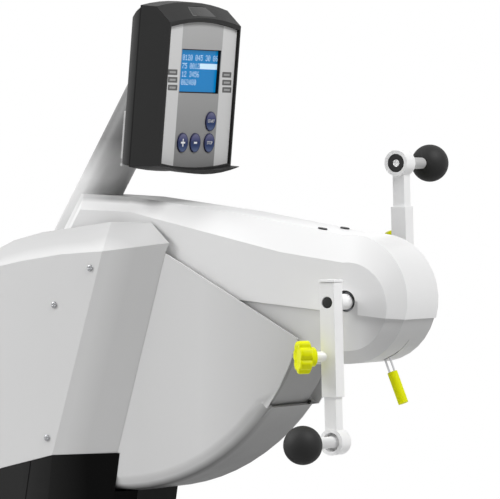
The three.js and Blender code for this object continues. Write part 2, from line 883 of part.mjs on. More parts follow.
function headUpperShell() {
  const outer = meet(headBody(0), tailLimit(0));
  const inner = meet(headBody(head_wall), tailLimit(head_wall));
  const lower = slab(belowSeam(running_gap, -2 * reach), -wide, wide);
  const mast_from = onMast(-mast_foot - running_gap, 0, 0);
  const mast_room = bar(mast_from, onMast(reach, 0, 0), mast_radius + running_gap, 32);
  const shaft_room = pin(pivot_in_head.x, pivot_in_head.y, -wide, wide, shaft_radius + head_wall);
  const cap_holes = [-1, 1].map((side) => {
    const { foot, up } = capPlace(side);
    const [from, to] = [-overrun, overrun].map((s) => foot.clone().addScaledVector(up, s));
    return bar(from, to, cap_stem + running_gap, 16);
  });
  return cut(outer, inner, lower, mast_room, shaft_room, axleHole(), ...cap_holes);
}

function headCap(side) {
  const { foot, up } = capPlace(side);
  const at = (s) => foot.clone().addScaledVector(up, s);
  const stem = bar(at(-2 * head_wall), at(running_gap + cap_rise / 2), cap_stem, 16);
  return join(stem, bar(at(running_gap), at(running_gap + cap_rise), cap_radius, 20));
}

// Lever frame: the hinge pin and the lever's own direction.
const lever_hinge = v3(lever_forward, 0, -lever_drop);
const lever_down = v3(Math.sin(lever_lean), 0, -Math.cos(lever_lean));
const lever_across = v3(Math.cos(lever_lean), 0, Math.sin(lever_lean));
const onLever = (s, a) => lever_hinge.clone().addScaledVector(lever_down, s).addScaledVector(lever_across, a);

function headLowerShell() {
  const outer = meet(headBody(shell_step), slab(belowSeam(0, -lower_shell_length), -wide, wide));
  const shell = cut(outer, headBody(shell_step + head_wall));
  const boss_outer = lever_pin_half + running_gap;
  const boss_inner = boss_outer - 2 * lever_pin;
  const [boss_back, boss_front] = [lever_forward - lever_boss, lever_forward + lever_boss];
  const boss_room = headBody(shell_step + head_wall / 2);
  const boss = (y0, y1) =>
    meet(block(boss_back, boss_front, y0, y1, -nose_radius, lever_boss - lever_drop), boss_room);
  const bosses = [boss(boss_inner, boss_outer), boss(-boss_outer, -boss_inner)];
  const pin_hole = pin(lever_hinge.x, lever_hinge.z, -wide, wide, lever_pin + running_gap, 16);
  const pierced = bosses.map((b) => cut(b, pin_hole));
  const slot = block(
    lever_hinge.x - lever_pin,
    lever_hinge.x + lever_slot,
    -lever_slot_half,
    lever_slot_half,
    -nose_radius - overrun,
    -lever_drop - lever_pin,
  );
  const [slit_from, slit_to] = [slit_start, slit_end].map((angle) => {
    const p = atAngle(-angle, slit_radius);
    return v3(p.x - nose_back, 0, p.y + nose_up);
  });
  const slit = bar(slit_from, slit_to, slit_half, 10);
  return cut(join(shell, ...pierced), axleHole(), slot, slit);
}

function headApron() {
  const outer = drum_radius - drum_wall - apron_gap;
  const round_start = drum_half_width - drum_panel - (drum_round - drum_wall);
  const flat_y = round_start - apron_gap / 2;
  const drawn_in = apron_half_width - flat_y;
  const ringOf = (y, radius) =>
    ringAtY(
      [
        ...arc(pivot_in_head, radius, -apron_end, -panel_start - apron_top, 12),
        ...arc(pivot_in_head, radius - apron_wall, -apron_end, -panel_start - apron_top, 12).reverse(),
      ],
      y,
    );
  const sheet = skin(
    [
      ringOf(-apron_half_width, outer - drawn_in),
      ringOf(-flat_y, outer),
      ringOf(flat_y, outer),
      ringOf(apron_half_width, outer - drawn_in),
    ],
    inXZ,
  );
  return cut(sheet, headBody(shell_step - running_gap));
}

function mast() {
  const tube = bar(onMast(-mast_foot, 0, 0), onMast(reach, 0, 0), mast_radius, 32);
  const [from, to] = [onMast(-mast_foot - overrun, 0, 0), onMast(reach + overrun, 0, 0)];
  const bore = bar(from, to, mast_radius - mast_wall, 24);
  const bracket_back = -console_depth - bracket_thickness - 2 * running_gap;
  const behind_console = inConsole(block(bracket_back, reach, -reach, reach, -reach, 2 * reach));
  return cut(tube, bore, behind_console);
}

// The console's own frame has its origin at the middle of the face's lower edge, +X out of the face
// and +Z up it.
const console_depth = front_depth + back_depth + running_gap;
const inConsole = (geometry) => geometry.rotateY(console_lean).translate(-console_back, 0, console_up);

add(head, "head_upper_shell", headUpperShell(), white_paint);
add(head, "head_lower_shell", headLowerShell(), grey_shell);
add(head, "head_apron", headApron(), dark_grey);
add(head, "left_head_cap", headCap(-1), black_plastic);
add(head, "right_head_cap", headCap(1), black_plastic);
add(head, "mast", mast(), white_paint);

// Head frame: two side plates with hubs for the tilt shaft and the crank axle, a bridge and a seat for
// the mast.
const plate_shares = [
  [-0.265, 0.088],
  [-0.316, 0.007],
  [-0.166, -0.118],
  [0.19, -0.142],
  [0.218, -0.344],
  [0.299, -0.344],
  [0.355, -0.147],
  [0.9, -0.185],
];
const plate_top_shares = [
  [0.616, 0.118],
  [0.355, 0.156],
  [-0.142, 0.201],
  [-0.23, 0.147],
];
const bridge_shares = [
  [0.427, 0.095],
  [0.545, 0.119],
];

function headFrame() {
  const fromPivot = (shares) => atShare(shares, reach).map((p) => p.add(pivot_in_head));
  const nose = arc(v2(0, 0), nose_plate_radius, nose_plate_start, nose_plate_end, 9);
  const outline = [...fromPivot(plate_shares), ...nose, ...fromPivot(plate_top_shares)];
  const inner = side_plate_inner;
  const outer = inner + side_plate;
  const [low, high] = fromPivot(bridge_shares);
  const bridge = block(low.x, high.x, -inner - side_plate / 2, inner + side_plate / 2, low.y, high.y);
  const seat_plan = [
    v2(-mast_radius, -inner - side_plate / 2),
    v2(seat_side, -inner - side_plate / 2),
    v2(seat_back, -tail_flat),
    v2(seat_back, tail_flat),
    v2(seat_side, inner + side_plate / 2),
    v2(-mast_radius, inner + side_plate / 2),
  ];
  const seatRing = (s) => seat_plan.map((p) => onMast(s, p.x, p.y));
  const seat_top = -mast_foot - running_gap;
  const seat = skin([seatRing(seat_top - seat_thickness), seatRing(seat_top)], acrossMast);
  const far_hub = small_pulley_end + running_gap;
  const near_hub = flywheel_hub + running_gap;
  const hubs = [
    pin(pivot_in_head.x, pivot_in_head.y, far_hub, outer + running_gap, hub_radius),
    pin(pivot_in_head.x, pivot_in_head.y, -outer - running_gap, -near_hub, hub_radius),
    pin(0, 0, inner - bearing_length, outer, bearing_radius),
    pin(0, 0, -outer, bearing_length - inner, bearing_radius),
  ];
  const spring_pin = pin(
    pivot_in_head.x + spring_head.x,
    pivot_in_head.y + spring_head.y,
    -inner - side_plate / 2,
    inner + side_plate / 2,
    link_pin,
  );
  const plates = [slab(outline, inner, outer), slab(outline, -outer, -inner)];
  const body = join(...plates, bridge, seat, ...hubs, spring_pin);
  const shaft_bore = pin(pivot_in_head.x, pivot_in_head.y, -wide, wide, shaft_radius + running_gap);
  return cut(body, shaft_bore, pin(0, 0, -wide, wide, axle_radius + running_gap));
}

function flywheel() {
  const at = (y0, y1, radius, sides) => pin(pivot_in_head.x, pivot_in_head.y, y0, y1, radius, sides);
  const body = join(
    at(-flywheel_half, flywheel_half, flywheel_radius, 40),
    at(-flywheel_hub, small_pulley_end, small_pulley, 28),
  );
  return cut(body, at(-wide, wide, shaft_radius + running_gap, 24));
}

// The loop that a belt follows round both pulleys, at a distance from their faces.
function beltLoop(away) {
  const small = small_pulley + away;
  const large = large_pulley + away;
  const turn = Math.acos((small - large) / reach);
  const line = -droop;
  return [
    ...arc(v2(0, 0), large, line - turn, line + turn, 30),
    ...arc(pivot_in_head, small, line + turn, line + 2 * Math.PI - turn, 14),
  ];
}

function driveBelt() {
  const y0 = small_pulley_end - pulley_width / 2 - belt_width / 2;
  const outer = slab(beltLoop(running_gap + belt_thickness), y0, y0 + belt_width);
  return cut(outer, slab(beltLoop(running_gap), y0 - overrun, y0 + belt_width + overrun));
}

// The brake's crossbar hangs from both side plates and two jaws reach up beside the flywheel's rim.
function brakeMagnet() {
  const [x, z] = [pivot_in_head.x, pivot_in_head.y];
  const inner = side_plate_inner - running_gap;
  const bar_top = z - flywheel_radius - 2 * side_plate;
  const bar_low = bar_top - brake_bar;
  const upTo = (top, y0, y1) => block(x - brake_half, x + brake_half, y0, y1, bar_low, top);
  const jaw_top = z - flywheel_radius + brake_lap;
  const tab_top = z - hub_radius - side_plate;
  const jaw_near = flywheel_half + brake_gap;
  return join(
    upTo(bar_top, -inner, inner),
    upTo(jaw_top, jaw_near, jaw_near + brake_jaw),
    upTo(jaw_top, -jaw_near - brake_jaw, -jaw_near),
    upTo(tab_top, inner - side_plate, inner),
    upTo(tab_top, -inner, side_plate - inner),
  );
}

add(head, "head_frame", headFrame(), steel);
add(head, "flywheel", flywheel(), cast);
add(head, "drive_belt", driveBelt(), rubber);
add(head, "brake_magnet", brakeMagnet(), cast);

// Gas spring from the ears on the yoke to the pin on the head frame.
const spring_line = spring_head.clone().sub(spring_foot).normalize();
const onSpring = (s, y) => v3(spring_foot.x + spring_line.x * s, y, spring_foot.y + spring_line.y * s);

function gasSpringCylinder() {
  const eye = pin(spring_foot.x, spring_foot.y, -spring_eye_half, spring_eye_half, spring_eye_radius);
  const body = bar(onSpring(spring_eye_radius / 2, 0), onSpring(spring_body_end, 0), spring_radius, 24);
  const bore_end = onSpring(spring_body_end + overrun, 0);
  const bore = bar(onSpring(2 * spring_eye_radius, 0), bore_end, rod_radius + running_gap, 16);
  const eye_bore = pin(spring_foot.x, spring_foot.y, -wide, wide, link_pin + running_gap);
  return cut(join(eye, body), bore, eye_bore);
}

function gasSpringRod() {
  const length = spring_head.distanceTo(spring_foot);
  const eye = pin(spring_head.x, spring_head.y, -rod_eye_half, rod_eye_half, rod_eye_radius);
  const rod_end = onSpring(length - (rod_eye_radius + rod_eye_bore) / 2, 0);
  const rod = bar(onSpring(rod_start, 0), rod_end, rod_radius, 16);
  return join(cut(eye, pin(spring_head.x, spring_head.y, -wide, wide, rod_eye_bore)), rod);
}

add(tower, "gas_spring_cylinder", gasSpringCylinder(), black_plastic);
add(tower, "gas_spring_rod", gasSpringRod(), steel);

// Release lever: two wires on a hinge pin, with a moulded grip over their ends.
function leverRods() {
  const hinge = pin(lever_hinge.x, lever_hinge.z, -lever_pin_half, lever_pin_half, lever_pin, 16);
  const across = lever_spacing / 2 + lever_wire;
  const crosshead = bar(onLever(lever_pin, -across), onLever(lever_pin, across), lever_pin, 12);
  const wire = (a) => bar(onLever(lever_pin, a), onLever(lever_length - lever_pin, a), lever_wire, 10);
  return join(hinge, crosshead, wire(-lever_spacing / 2), wire(lever_spacing / 2));
}

function leverGrip() {
  const grip = bar(onLever(lever_length - grip_length, 0), onLever(lever_length, 0), grip_radius, 20);
  const room_end = lever_length - lever_pin + running_gap;
  const room = (a) => bar(onLever(0, a), onLever(room_end, a), lever_wire + running_gap, 10);
  return cut(grip, room(-lever_spacing / 2), room(lever_spacing / 2));
}

add(head, "lever_rods", leverRods(), steel);
add(head, "lever_grip", leverGrip(), yellow_green);

// Console face: an outline in Y and Z with an arched top and a lower edge that sags.
function faceOutline(half, bottom, top, rise, sag) {
  const steps = 8;
  const across = Array.from({ length: steps + 1 }, (_, i) => (2 * i) / steps - 1);
  const lower = across.map((t) => v2(t * half, bottom - sag * (1 - t * t)));
  const upper = across.map((t) => v2(-t * half, top + rise * (1 - t * t)));
  return [...lower, ...upper];
}

const ringAtX = (points, x) => points.map((p) => v3(x, p.x, p.y));
const half_console = console_width / 2;
const faceRing = (x, half, bottom, top, rise = arch_rise, sag = arch_sag) =>
  ringAtX(faceOutline(half, bottom, top, rise, sag), x);
const button_places = {
  plus_button: [-0.369, 0.1635],
  minus_button: [-0.018, 0.1635],
  stop_button: [0.381, 0.1635],
  start_button: [0.381, 0.317],
};

// The printed panel lies behind the rim and the display behind the panel.
const panel_front = -face_recess;
const screen_front = panel_front - screen_recess;

// A block of the face's outline between two depths.
const faceBlock = (x0, x1, half, bottom, top) =>
  skin([faceRing(x0, half, bottom, top), faceRing(x1, half, bottom, top)], inYZ);
const buttonRooms = (x0, x1) =>
  Object.values(button_places).map((place) => buttonBar(place, x0, x1, button_radius + running_gap));

function consoleFront() {
  const brow = console_height + brow_height;
  const housing = skin(
    [
      faceRing(-front_depth, half_console, -underside_drop, brow),
      faceRing(-brow_depth, half_console, (-underside_drop * brow_depth) / front_depth, brow),
      faceRing(0, half_console, 0, console_height),
    ],
    inYZ,
  );
  const lip_plate = skin([ringAtX(lipOutline(), -lip_root), ringAtX(lipOutline(), lip_length)], inYZ);
  const pocket_floor = panel_front - face_thickness - running_gap;
  const pocket = faceBlock(pocket_floor, overrun, half_console - rim, rim, console_height - brow_rim);
  const screen_room = screenBlock(screen_front - 2 * face_thickness, overrun, running_gap);
  const half_hollow = half_console - 2 * rim;
  const hollow = skin(
    [
      faceRing(-front_depth - overrun, half_hollow, 2 * rim, brow - 2 * rim),
      faceRing(-brow_depth, half_hollow, 2 * rim, brow - 4 * rim),
    ],
    inYZ,
  );
  const rooms = [pocket, screen_room, hollow, sensorWindow(running_gap)];
  return cut(join(housing, lip_plate), ...rooms, ...buttonRooms(-front_depth, overrun));
}

function lipOutline() {
  const edge = faceOutline(half_console, 0, lip_thickness, 0, arch_sag + lip_thickness);
  const upper = faceOutline(half_console, 0, 0, 0, arch_sag).slice(0, edge.length / 2).reverse();
  return [...edge.slice(0, edge.length / 2), ...upper.map((p) => v2(p.x, p.y + lip_thickness / 5))];
}

function screenBlock(x0, x1, spare) {
  const half = screen_width / 2 + spare;
  return block(x0, x1, -half, half, screen_bottom - spare, screen_bottom + screen_height + spare);
}

function buttonBar([across, up], x0, x1, radius) {
  const y = across * half_console;
  const z = up * console_height;
  return bar(v3(x0, y, z), v3(x1, y, z), radius, 28);
}

// The sensor window lies in the brow, the sloping band over the face.
function sensorWindow(spare) {
  const slope = Math.atan2(brow_height, -brow_depth);
  const along = v3(Math.cos(slope), 0, Math.sin(slope));
  const out = v3(Math.sin(slope), 0, -Math.cos(slope));
  const foot = v3(0, 0, console_height + arch_rise);
  const corner = (s, y, d) => foot.clone().addScaledVector(along, s).addScaledVector(out, d).setY(y);
  const [low, high] = [window_low - spare, window_high + spare];
  const [wide_half, narrow_half] = [window_wide / 2 + spare, window_narrow / 2 + spare];
  const ringOf = (d) => [
    corner(low, -wide_half, d),
    corner(low, wide_half, d),
    corner(high, narrow_half, d),
    corner(high, -narrow_half, d),
  ];
  const sunk = spare ? overrun : 0;
  const flat = (p) => v2(p.y, p.clone().sub(foot).dot(along));
  return skin([ringOf(-window_depth - spare), ringOf(sunk - window_sunk)], flat);
}

function consoleBack() {
  const brow = console_height + brow_height;
  const near = -front_depth - running_gap;
  const inner = half_console - back_inset;
  const outer = skin(
    [
      faceRing(near - back_depth, inner, -underside_drop / 2, brow - 2 * back_inset),
      faceRing(near - back_depth / 2, half_console - rim, rim / 2 - underside_drop, brow - back_inset),
      faceRing(near, half_console - rim / 2, rim / 2 - underside_drop, brow - rim / 2),
    ],
    inYZ,
  );
  const hollow_top = brow - 2 * back_inset - rim;
  const hollow = faceBlock(near - back_depth + rim, near + overrun, inner - rim, back_inset, hollow_top);
  return cut(outer, hollow);
}

function facePanel() {
  const spare = rim + running_gap;
  const top = console_height - brow_rim - running_gap;
  const sheet = faceBlock(panel_front - face_thickness, panel_front, half_console - spare, spare, top);
  return cut(sheet, screenBlock(-overrun, overrun, 0), ...buttonRooms(-overrun, overrun));
}

function consoleBracket() {
  const back = -console_depth - running_gap;
  const half = bracket_width / 2;
  const top = bracket_foot + bracket_height;
  const sheet = block(back - bracket_thickness, back, -half, half, bracket_foot, top);
  const notch_foot = bracket_foot + bracket_notch;
  const notch_top = notch_foot + 2 * bracket_notch;
  const notch = (y) =>
    block(back - overrun, back + overrun, y - bracket_notch, y + bracket_notch, notch_foot, notch_top);
  return cut(sheet, notch(-half), notch(half));
}

function button(place) {
  return join(
    buttonBar(place, panel_front - button_stem, panel_front, button_radius - button_rise / 2),
    buttonBar(place, panel_front - face_thickness, panel_front + button_rise, button_radius),
  );
}

add(head, "console_front", inConsole(consoleFront()), anthracite);
add(head, "console_back", inConsole(consoleBack()), anthracite);
add(head, "console_bracket", inConsole(consoleBracket()), white_paint);
add(head, "face_panel", inConsole(facePanel()), silver_panel);
const screen_back = screen_front - 2 * face_thickness + running_gap;
add(head, "display", inConsole(screenBlock(screen_back, screen_front, 0)), screen_blue);
add(head, "sensor_window", inConsole(sensorWindow(0)), smoked);
for (const [name, place] of Object.entries(button_places)) {
  add(head, name, inConsole(button(place)), violet_gloss);
}

// Cranks: each is built pointing down on the left and turned half round the X axis for the right.
// The knob's own axis starts in the middle of the tubes and leaves through the sleeve's outer corner.
const onCorner = (geometry) => geometry.rotateZ(knob_turn).translate(0, -crank_side, -knob_drop);
const alongKnob = (s0, s1, radius, sides) => bar(v3(-s0, 0, 0), v3(-s1, 0, 0), radius, sides);
const cornerOf = (size) => size / 2 / Math.cos(knob_turn);
const boss_end = cornerOf(sleeve_size) + boss_length;

// A square bar down a crank's line, or the room for one.
const squareBar = (half, z0, z1) => block(-half, half, -crank_side - half, half - crank_side, z0, z1);

function crankSleeve() {
  const half = sleeve_size / 2;
  const outer = squareBar(half, -sleeve_below, sleeve_above);
  const hollow = squareBar(half - sleeve_wall, -sleeve_below - overrun, sleeve_above + overrun);
  const collar = pin(0, 0, half - crank_side - sleeve_wall / 2, -collar_inner_end, collar_radius, 28);
  const boss = onCorner(alongKnob(0, boss_end, boss_radius, 20));
  const axle_room = pin(0, 0, -crank_side - overrun, overrun - collar_inner_end, plug_hole);
  const pin_room = onCorner(alongKnob(0, boss_end + overrun, knob_pin + running_gap, 16));
  return cut(join(outer, collar, boss), hollow, axle_room, pin_room);
}

function sleeveCap() {
  const plug = sleeve_size / 2 - sleeve_wall - running_gap;
  const z = sleeve_above + running_gap;
  return join(
    squareBar(sleeve_size / 2 + sleeve_cap_lap, z, z + sleeve_cap_height),
    squareBar(plug, z - sleeve_cap_height, z + sleeve_cap_height / 2),
  );
}

const hub_out = -crank_side - tube_size / 2 - handle_hub_proud;
const hub_in = hub_out + handle_hub_length;
const cap_out = hub_in - hub_cap_depth;
const onHandle = (y0, y1, radius, sides) => pin(0, -crank_length, y0, y1, radius, sides);

function crankTube() {
  const half = tube_size / 2;
  const foot = -crank_length + Math.sqrt(handle_hub_radius ** 2 - half ** 2);
  const tube = squareBar(half, foot - tube_wall, -tube_start);
  const hollow = squareBar(half - tube_wall, foot + tube_wall, overrun - tube_start);
  const ring = onHandle(hub_out, hub_in, handle_hub_radius, 32);
  const bore = onHandle(hub_out - overrun, hub_in + overrun, handle_hub_bore, 28);
  return cut(join(cut(tube, hollow), ring), bore);
}

// The hub's cap lies in the inboard end of the bore, round the end of the handle's spindle.
function hubCap() {
  const disc = onHandle(cap_out, hub_in - running_gap, handle_hub_bore - running_gap, 28);
  return cut(disc, onHandle(cap_out - overrun, hub_in + overrun, spindle_end_radius + running_gap));
}

function handleBall() {
  const ball = new THREE.SphereGeometry(ball_radius, 28, 18).rotateX(Math.PI / 2);
  const bearing_in = cap_out - running_gap;
  return join(
    ball.translate(0, -ball_side, -crank_length),
    onHandle(-ball_side, bearing_in, spindle_radius),
    onHandle(bearing_in - bearing_depth, bearing_in, handle_hub_bore - running_gap, 28),
    onHandle(bearing_in - bearing_depth, hub_in - spindle_end_recess, spindle_end_radius),
  );
}

// Star knob: a lobed head with a dished face, a round neck with a tapered end and the clamping pin.
function knob() {
  const neck_from = boss_end + running_gap;
  const head_from = neck_from + knob_neck_length;
  const head_to = head_from + knob_thickness;
  const lobed = (s, share) =>
    Array.from({ length: 8 * knob_lobes }, (_, i) => {
      const angle = (i / (8 * knob_lobes)) * 2 * Math.PI;
      const lobe = 1 - knob_lobe_share + knob_lobe_share * Math.sin(knob_lobes * angle);
      const p = atAngle(angle, knob_radius * share * lobe);
      return v3(-s, p.x, p.y);
    });
  const star = skin(
    [
      lobed(head_from, knob_edge_share),
      lobed(head_from + knob_edge, 1),
      lobed(head_to - knob_edge, 1),
      lobed(head_to, knob_edge_share),
    ],
    inYZ,
  );
  const taper = new THREE.CylinderGeometry(
    knob_neck_radius,
    knob_neck_radius - knob_neck_edge,
    knob_neck_edge,
    28,
  );
  taper.rotateZ(Math.PI / 2).translate(-neck_from - knob_neck_edge / 2, 0, 0);
  const neck = alongKnob(neck_from + knob_neck_edge / 2, head_from + knob_edge, knob_neck_radius, 28);
  const stem = alongKnob(cornerOf(tube_size) + running_gap, head_from, knob_pin, 16);
  const dish = alongKnob(head_to - knob_dish_depth, head_to + overrun, knob_dish_radius, 28);
  return onCorner(cut(join(star, taper, neck, stem), dish));
}

function drivePulley() {
  const outer = small_pulley_end;
  const wheel = pin(0, 0, outer - pulley_width, outer, large_pulley, 48);
  const web = pulley_width - pulley_web;
  const dish = cut(
    pin(0, 0, outer - web, outer + overrun, large_pulley - pulley_web, 40),
    pin(0, 0, outer - pulley_width, outer + 2 * overrun, bearing_radius, 24),
  );
  return cut(wheel, dish, pin(0, 0, -wide, wide, axle_radius + running_gap));
}

const cranks = new THREE.Group();
cranks.rotation.y = -crank_phase;
head.add(cranks);
const axle_end = crank_side + sleeve_size / 2 - sleeve_wall;
add(cranks, "crank_axle", pin(0, 0, -axle_end, axle_end, axle_radius), steel);
add(cranks, "drive_pulley", drivePulley(), cast);
for (const [side, turn] of [["left", 0], ["right", Math.PI]]) {
  const arm = new THREE.Group();
  arm.rotation.x = turn;
  cranks.add(arm);
  add(arm, `${side}_crank_sleeve`, crankSleeve(), white_paint);
  add(arm, `${side}_sleeve_cap`, sleeveCap(), white_paint);
  add(arm, `${side}_crank_tube`, crankTube(), white_paint);
  add(arm, `${side}_hub_cap`, hubCap(), black_plastic);
  add(arm, `${side}_handle_ball`, handleBall(), rubber);
  add(arm, `${side}_knob`, knob(), yellow);
}

export default machine;
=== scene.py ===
# %% [markdown]
# # Arm ergometer
# The machine has a heavy column on a floor frame, a head that tilts in a drum, two opposed
# hand cranks and a console on a mast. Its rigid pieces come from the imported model, which
# gives every size and every joint. This lesson adds what the eye needs: rounded edges,
# smooth turned pieces, finishes, light and a camera.

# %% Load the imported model
import json

import bpy
import bmesh
import numpy as np
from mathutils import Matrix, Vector


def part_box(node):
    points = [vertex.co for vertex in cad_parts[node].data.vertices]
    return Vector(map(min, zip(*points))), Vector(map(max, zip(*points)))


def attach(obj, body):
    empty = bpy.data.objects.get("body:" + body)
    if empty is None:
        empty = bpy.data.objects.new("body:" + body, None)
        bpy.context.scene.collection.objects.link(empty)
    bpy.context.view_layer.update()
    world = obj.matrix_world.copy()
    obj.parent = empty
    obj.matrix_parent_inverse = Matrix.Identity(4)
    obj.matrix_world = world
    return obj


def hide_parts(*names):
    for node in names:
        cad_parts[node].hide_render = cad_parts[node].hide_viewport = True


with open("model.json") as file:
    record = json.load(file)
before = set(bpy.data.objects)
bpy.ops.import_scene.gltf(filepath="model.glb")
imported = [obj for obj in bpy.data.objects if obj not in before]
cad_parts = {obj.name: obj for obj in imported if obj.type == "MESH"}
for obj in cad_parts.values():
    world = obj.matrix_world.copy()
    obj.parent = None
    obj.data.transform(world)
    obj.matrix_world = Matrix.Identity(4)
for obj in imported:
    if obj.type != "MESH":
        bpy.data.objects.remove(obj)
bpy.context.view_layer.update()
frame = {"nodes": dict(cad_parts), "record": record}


def add_object(name, data):
    """A new object that shows the mesh, curve, lamp or camera."""
    made = bpy.data.objects.new(name, data)
    bpy.context.scene.collection.objects.link(made)
    return made


def add_mesh(name, points, faces):
    mesh = bpy.data.meshes.new(name)
    mesh.from_pydata(points, [], faces)
    return add_object(name, mesh)


# %% [markdown]
# ## The camera
# The picture was taken from the right front with a long lens, a little above the crank
# axle. The camera stands where the crank, the console and the column line up as they do
# there. A long lens keeps the far crank nearly as large as the near one.

# %% Set up the camera
camera_azimuth = np.radians(31.0)
camera_pitch = np.radians(1.078)
camera_place = (3.59324, -5.75625, 1.25396)
focal_in_pixels = 4225.0
picture_width = 500.0

camera_data = bpy.data.cameras.new("camera")
camera_data.sensor_width = 36.0
camera_data.lens = focal_in_pixels / picture_width * camera_data.sensor_width
camera_data.clip_end = 60.0
camera = add_object("camera", camera_data)
camera.location = camera_place
camera.rotation_euler = (np.pi / 2 - camera_pitch, 0.0, camera_azimuth)
bpy.context.scene.camera = camera
print("lens", round(camera_data.lens, 1), "mm")

# %% [markdown]
# ## Numbers that flow through a material
# A material is a graph of nodes. Wrapping an output socket in a small class lets shader
# maths read as plain sums: each operator adds one Math node. The reflected forms make
# `1 - mask` work as well as `mask - 1`. A second class holds a material and adds its nodes.

# %% A socket that can be used in sums
class Flow:
    """A number that varies over a surface, held by one output socket of a material."""

    def __init__(self, finish, socket):
        self.finish = finish
        self.socket = socket

    def maths(self, operation, first, second=0.0):
        made = self.finish.node("Math", {"operation": operation}, {0: first, 1: second})
        return Flow(self.finish, made.outputs[0])

    def __add__(self, other):
        return self.maths("ADD", self, other)

    def __radd__(self, other):
        return self.maths("ADD", other, self)

    def __sub__(self, other):
        return self.maths("SUBTRACT", self, other)

    def __rsub__(self, other):
        return self.maths("SUBTRACT", other, self)

    def __mul__(self, other):
        return self.maths("MULTIPLY", self, other)

    def __truediv__(self, other):
        return self.maths("DIVIDE", self, other)

    def __abs__(self):
        return self.maths("ABSOLUTE", self)

    def above(self, other):
        return self.maths("GREATER_THAN", self, other)

    def below(self, other):
        return self.maths("LESS_THAN", self, other)

    def most(self, other):
        return self.maths("MAXIMUM", self, other)

    def least(self, other):
        return self.maths("MINIMUM", self, other)

    def clipped(self):
        """The number held between 0 and 1."""
        return self.most(0.0).least(1.0)

    def power(self, other):
        return self.maths("POWER", self, other)

    def from_line(self, pitch):
        """Distance to the nearest of many lines a pitch apart, one of them at -0.5."""
        return self.maths("PINGPONG", self + 0.5, pitch / 2)


def fold(flows, join):
    """One number out of several, such as the largest with Flow.most."""
    total, *rest = flows
    for flow in rest:
        total = join(total, flow)
    return total


class Finish:
    """A procedural material with one Principled shader."""

    def __init__(self, name, color, roughness, metallic=0.0, coat=0.0):
        self.material = bpy.data.materials.new(name)
        self.material.use_nodes = True
        self.tree = self.material.node_tree
        self.shader = self.tree.nodes["Principled BSDF"]
        self.set("Base Color", color)
        self.set("Roughness", roughness)
        self.set("Metallic", metallic)
        self.set("Coat Weight", coat)
        self.material.diffuse_color = (*color, 1.0)

    def plug(self, socket, value):
        """Link a flow or a socket to the socket, or set it to a number or to an opaque colour."""
        if isinstance(value, Flow):
            value = value.socket
        if isinstance(value, bpy.types.NodeSocket):
            self.tree.links.new(value, socket)
        else:
            socket.default_value = (*value, 1.0) if socket.type == "RGBA" else value

    def node(self, kind, settings=None, inputs=None):
        made = self.tree.nodes.new("ShaderNode" + kind)
        for key, value in (settings or {}).items():
            setattr(made, key, value)
        for key, value in (inputs or {}).items():
            self.plug(made.inputs[key], value)
        return made

    def set(self, name, value):
        self.plug(self.shader.inputs[name], value)

    def wear(self, roughness, spread, mask):
        """Roughness from roughness - spread where the mask is 0 to roughness + spread at 1."""
        self.set("Roughness", roughness - spread + mask * (2 * spread))

    def place(self):
        """The point's place in metres, in the machine's own frame."""
        return self.node("TexCoord").outputs["Object"]

    def axes(self):
        parts = self.node("SeparateXYZ", None, {0: self.place()})
        return [Flow(self, parts.outputs[i]) for i in range(3)]

    def noise(self, scale, detail=3.0, rough=0.5, at=None):
        at = at or self.place()
        inputs = {"Vector": at, "Scale": scale, "Detail": detail, "Roughness": rough}
        return Flow(self, self.node("TexNoise", None, inputs).outputs[0])

    def mottle(self, first, second, scale=4.0, detail=4.0):
        """A colour that wanders between the two with a broad noise."""
        return self.blend(self.noise(scale, detail), first, second)

    def ramp(self, place, *stops):
        """The colour of the stops at a place from 0 to 1; a stop is a place and a colour."""
        made = self.node("ValToRGB", None, {0: place})
        elements = made.color_ramp.elements
        while len(elements) < len(stops):
            elements.new(1.0)
        for element, (position, color) in zip(elements, stops):
            element.position = position
            element.color = (*color, 1.0)
        return made.outputs[0]

    def blend(self, mask, first, second):
        """The first colour where the mask is 0 and the second where it is 1."""
        made = self.node("Mix", {"data_type": "RGBA"}, {0: mask, 6: first, 7: second})
        return made.outputs[2]

    def bump(self, height, strength, distance):
        inputs = {"Height": height, "Strength": strength, "Distance": distance}
        return self.node("Bump", None, inputs).outputs[0]


def grey(level):
    """The linear colour that shows as this level from 0 to 255 under plain light."""
    return tuple([float((level / 255.0) ** 2.2)] * 3)


def tint(red, green, blue):
    """The linear colour of three screen levels from 0 to 255."""
    return tuple(float((c / 255.0) ** 2.2) for c in (red, green, blue))


print("white paint shows as", [round(c, 3) for c in grey(240)])

# %% [markdown]
# ## Light and floor
# Soft light from high on the left and from high on the right shows the tops of the white
# shells brightest without clipping them. Weaker lamps to the sides fill the flanks and keep
# the facets apart in tone. The world is an even grey for the object. Rays that go
# straight from the camera, or by a mirror or glass, see white, so the backdrop is white
# without any more light on the machine.

# %% Make the world, the lamps and the floor
def white_to_the_eye(tree, background, level):
    """Strength 1 and white for camera, glossy and transmission rays, else a grey level."""
    rays = tree.nodes.new("ShaderNodeLightPath")
    seen = rays.outputs["Is Camera Ray"]
    for name in ("Is Glossy Ray", "Is Transmission Ray"):
        either = tree.nodes.new("ShaderNodeMath")
        either.operation = "MAXIMUM"
        tree.links.new(seen, either.inputs[0])
        tree.links.new(rays.outputs[name], either.inputs[1])
        seen = either.outputs[0]
    strength = tree.nodes.new("ShaderNodeMapRange")
    tree.links.new(seen, strength.inputs["Value"])
    strength.inputs["To Min"].default_value = level
    strength.inputs["To Max"].default_value = 1.0
    tree.links.new(strength.outputs[0], background.inputs["Strength"])
    background.inputs["Color"].default_value = (1.0, 1.0, 1.0, 1.0)


world = bpy.data.worlds.new("studio")
world.use_nodes = True
bpy.context.scene.world = world
world_level = 0.12
white_to_the_eye(world.node_tree, world.node_tree.nodes["Background"], world_level)


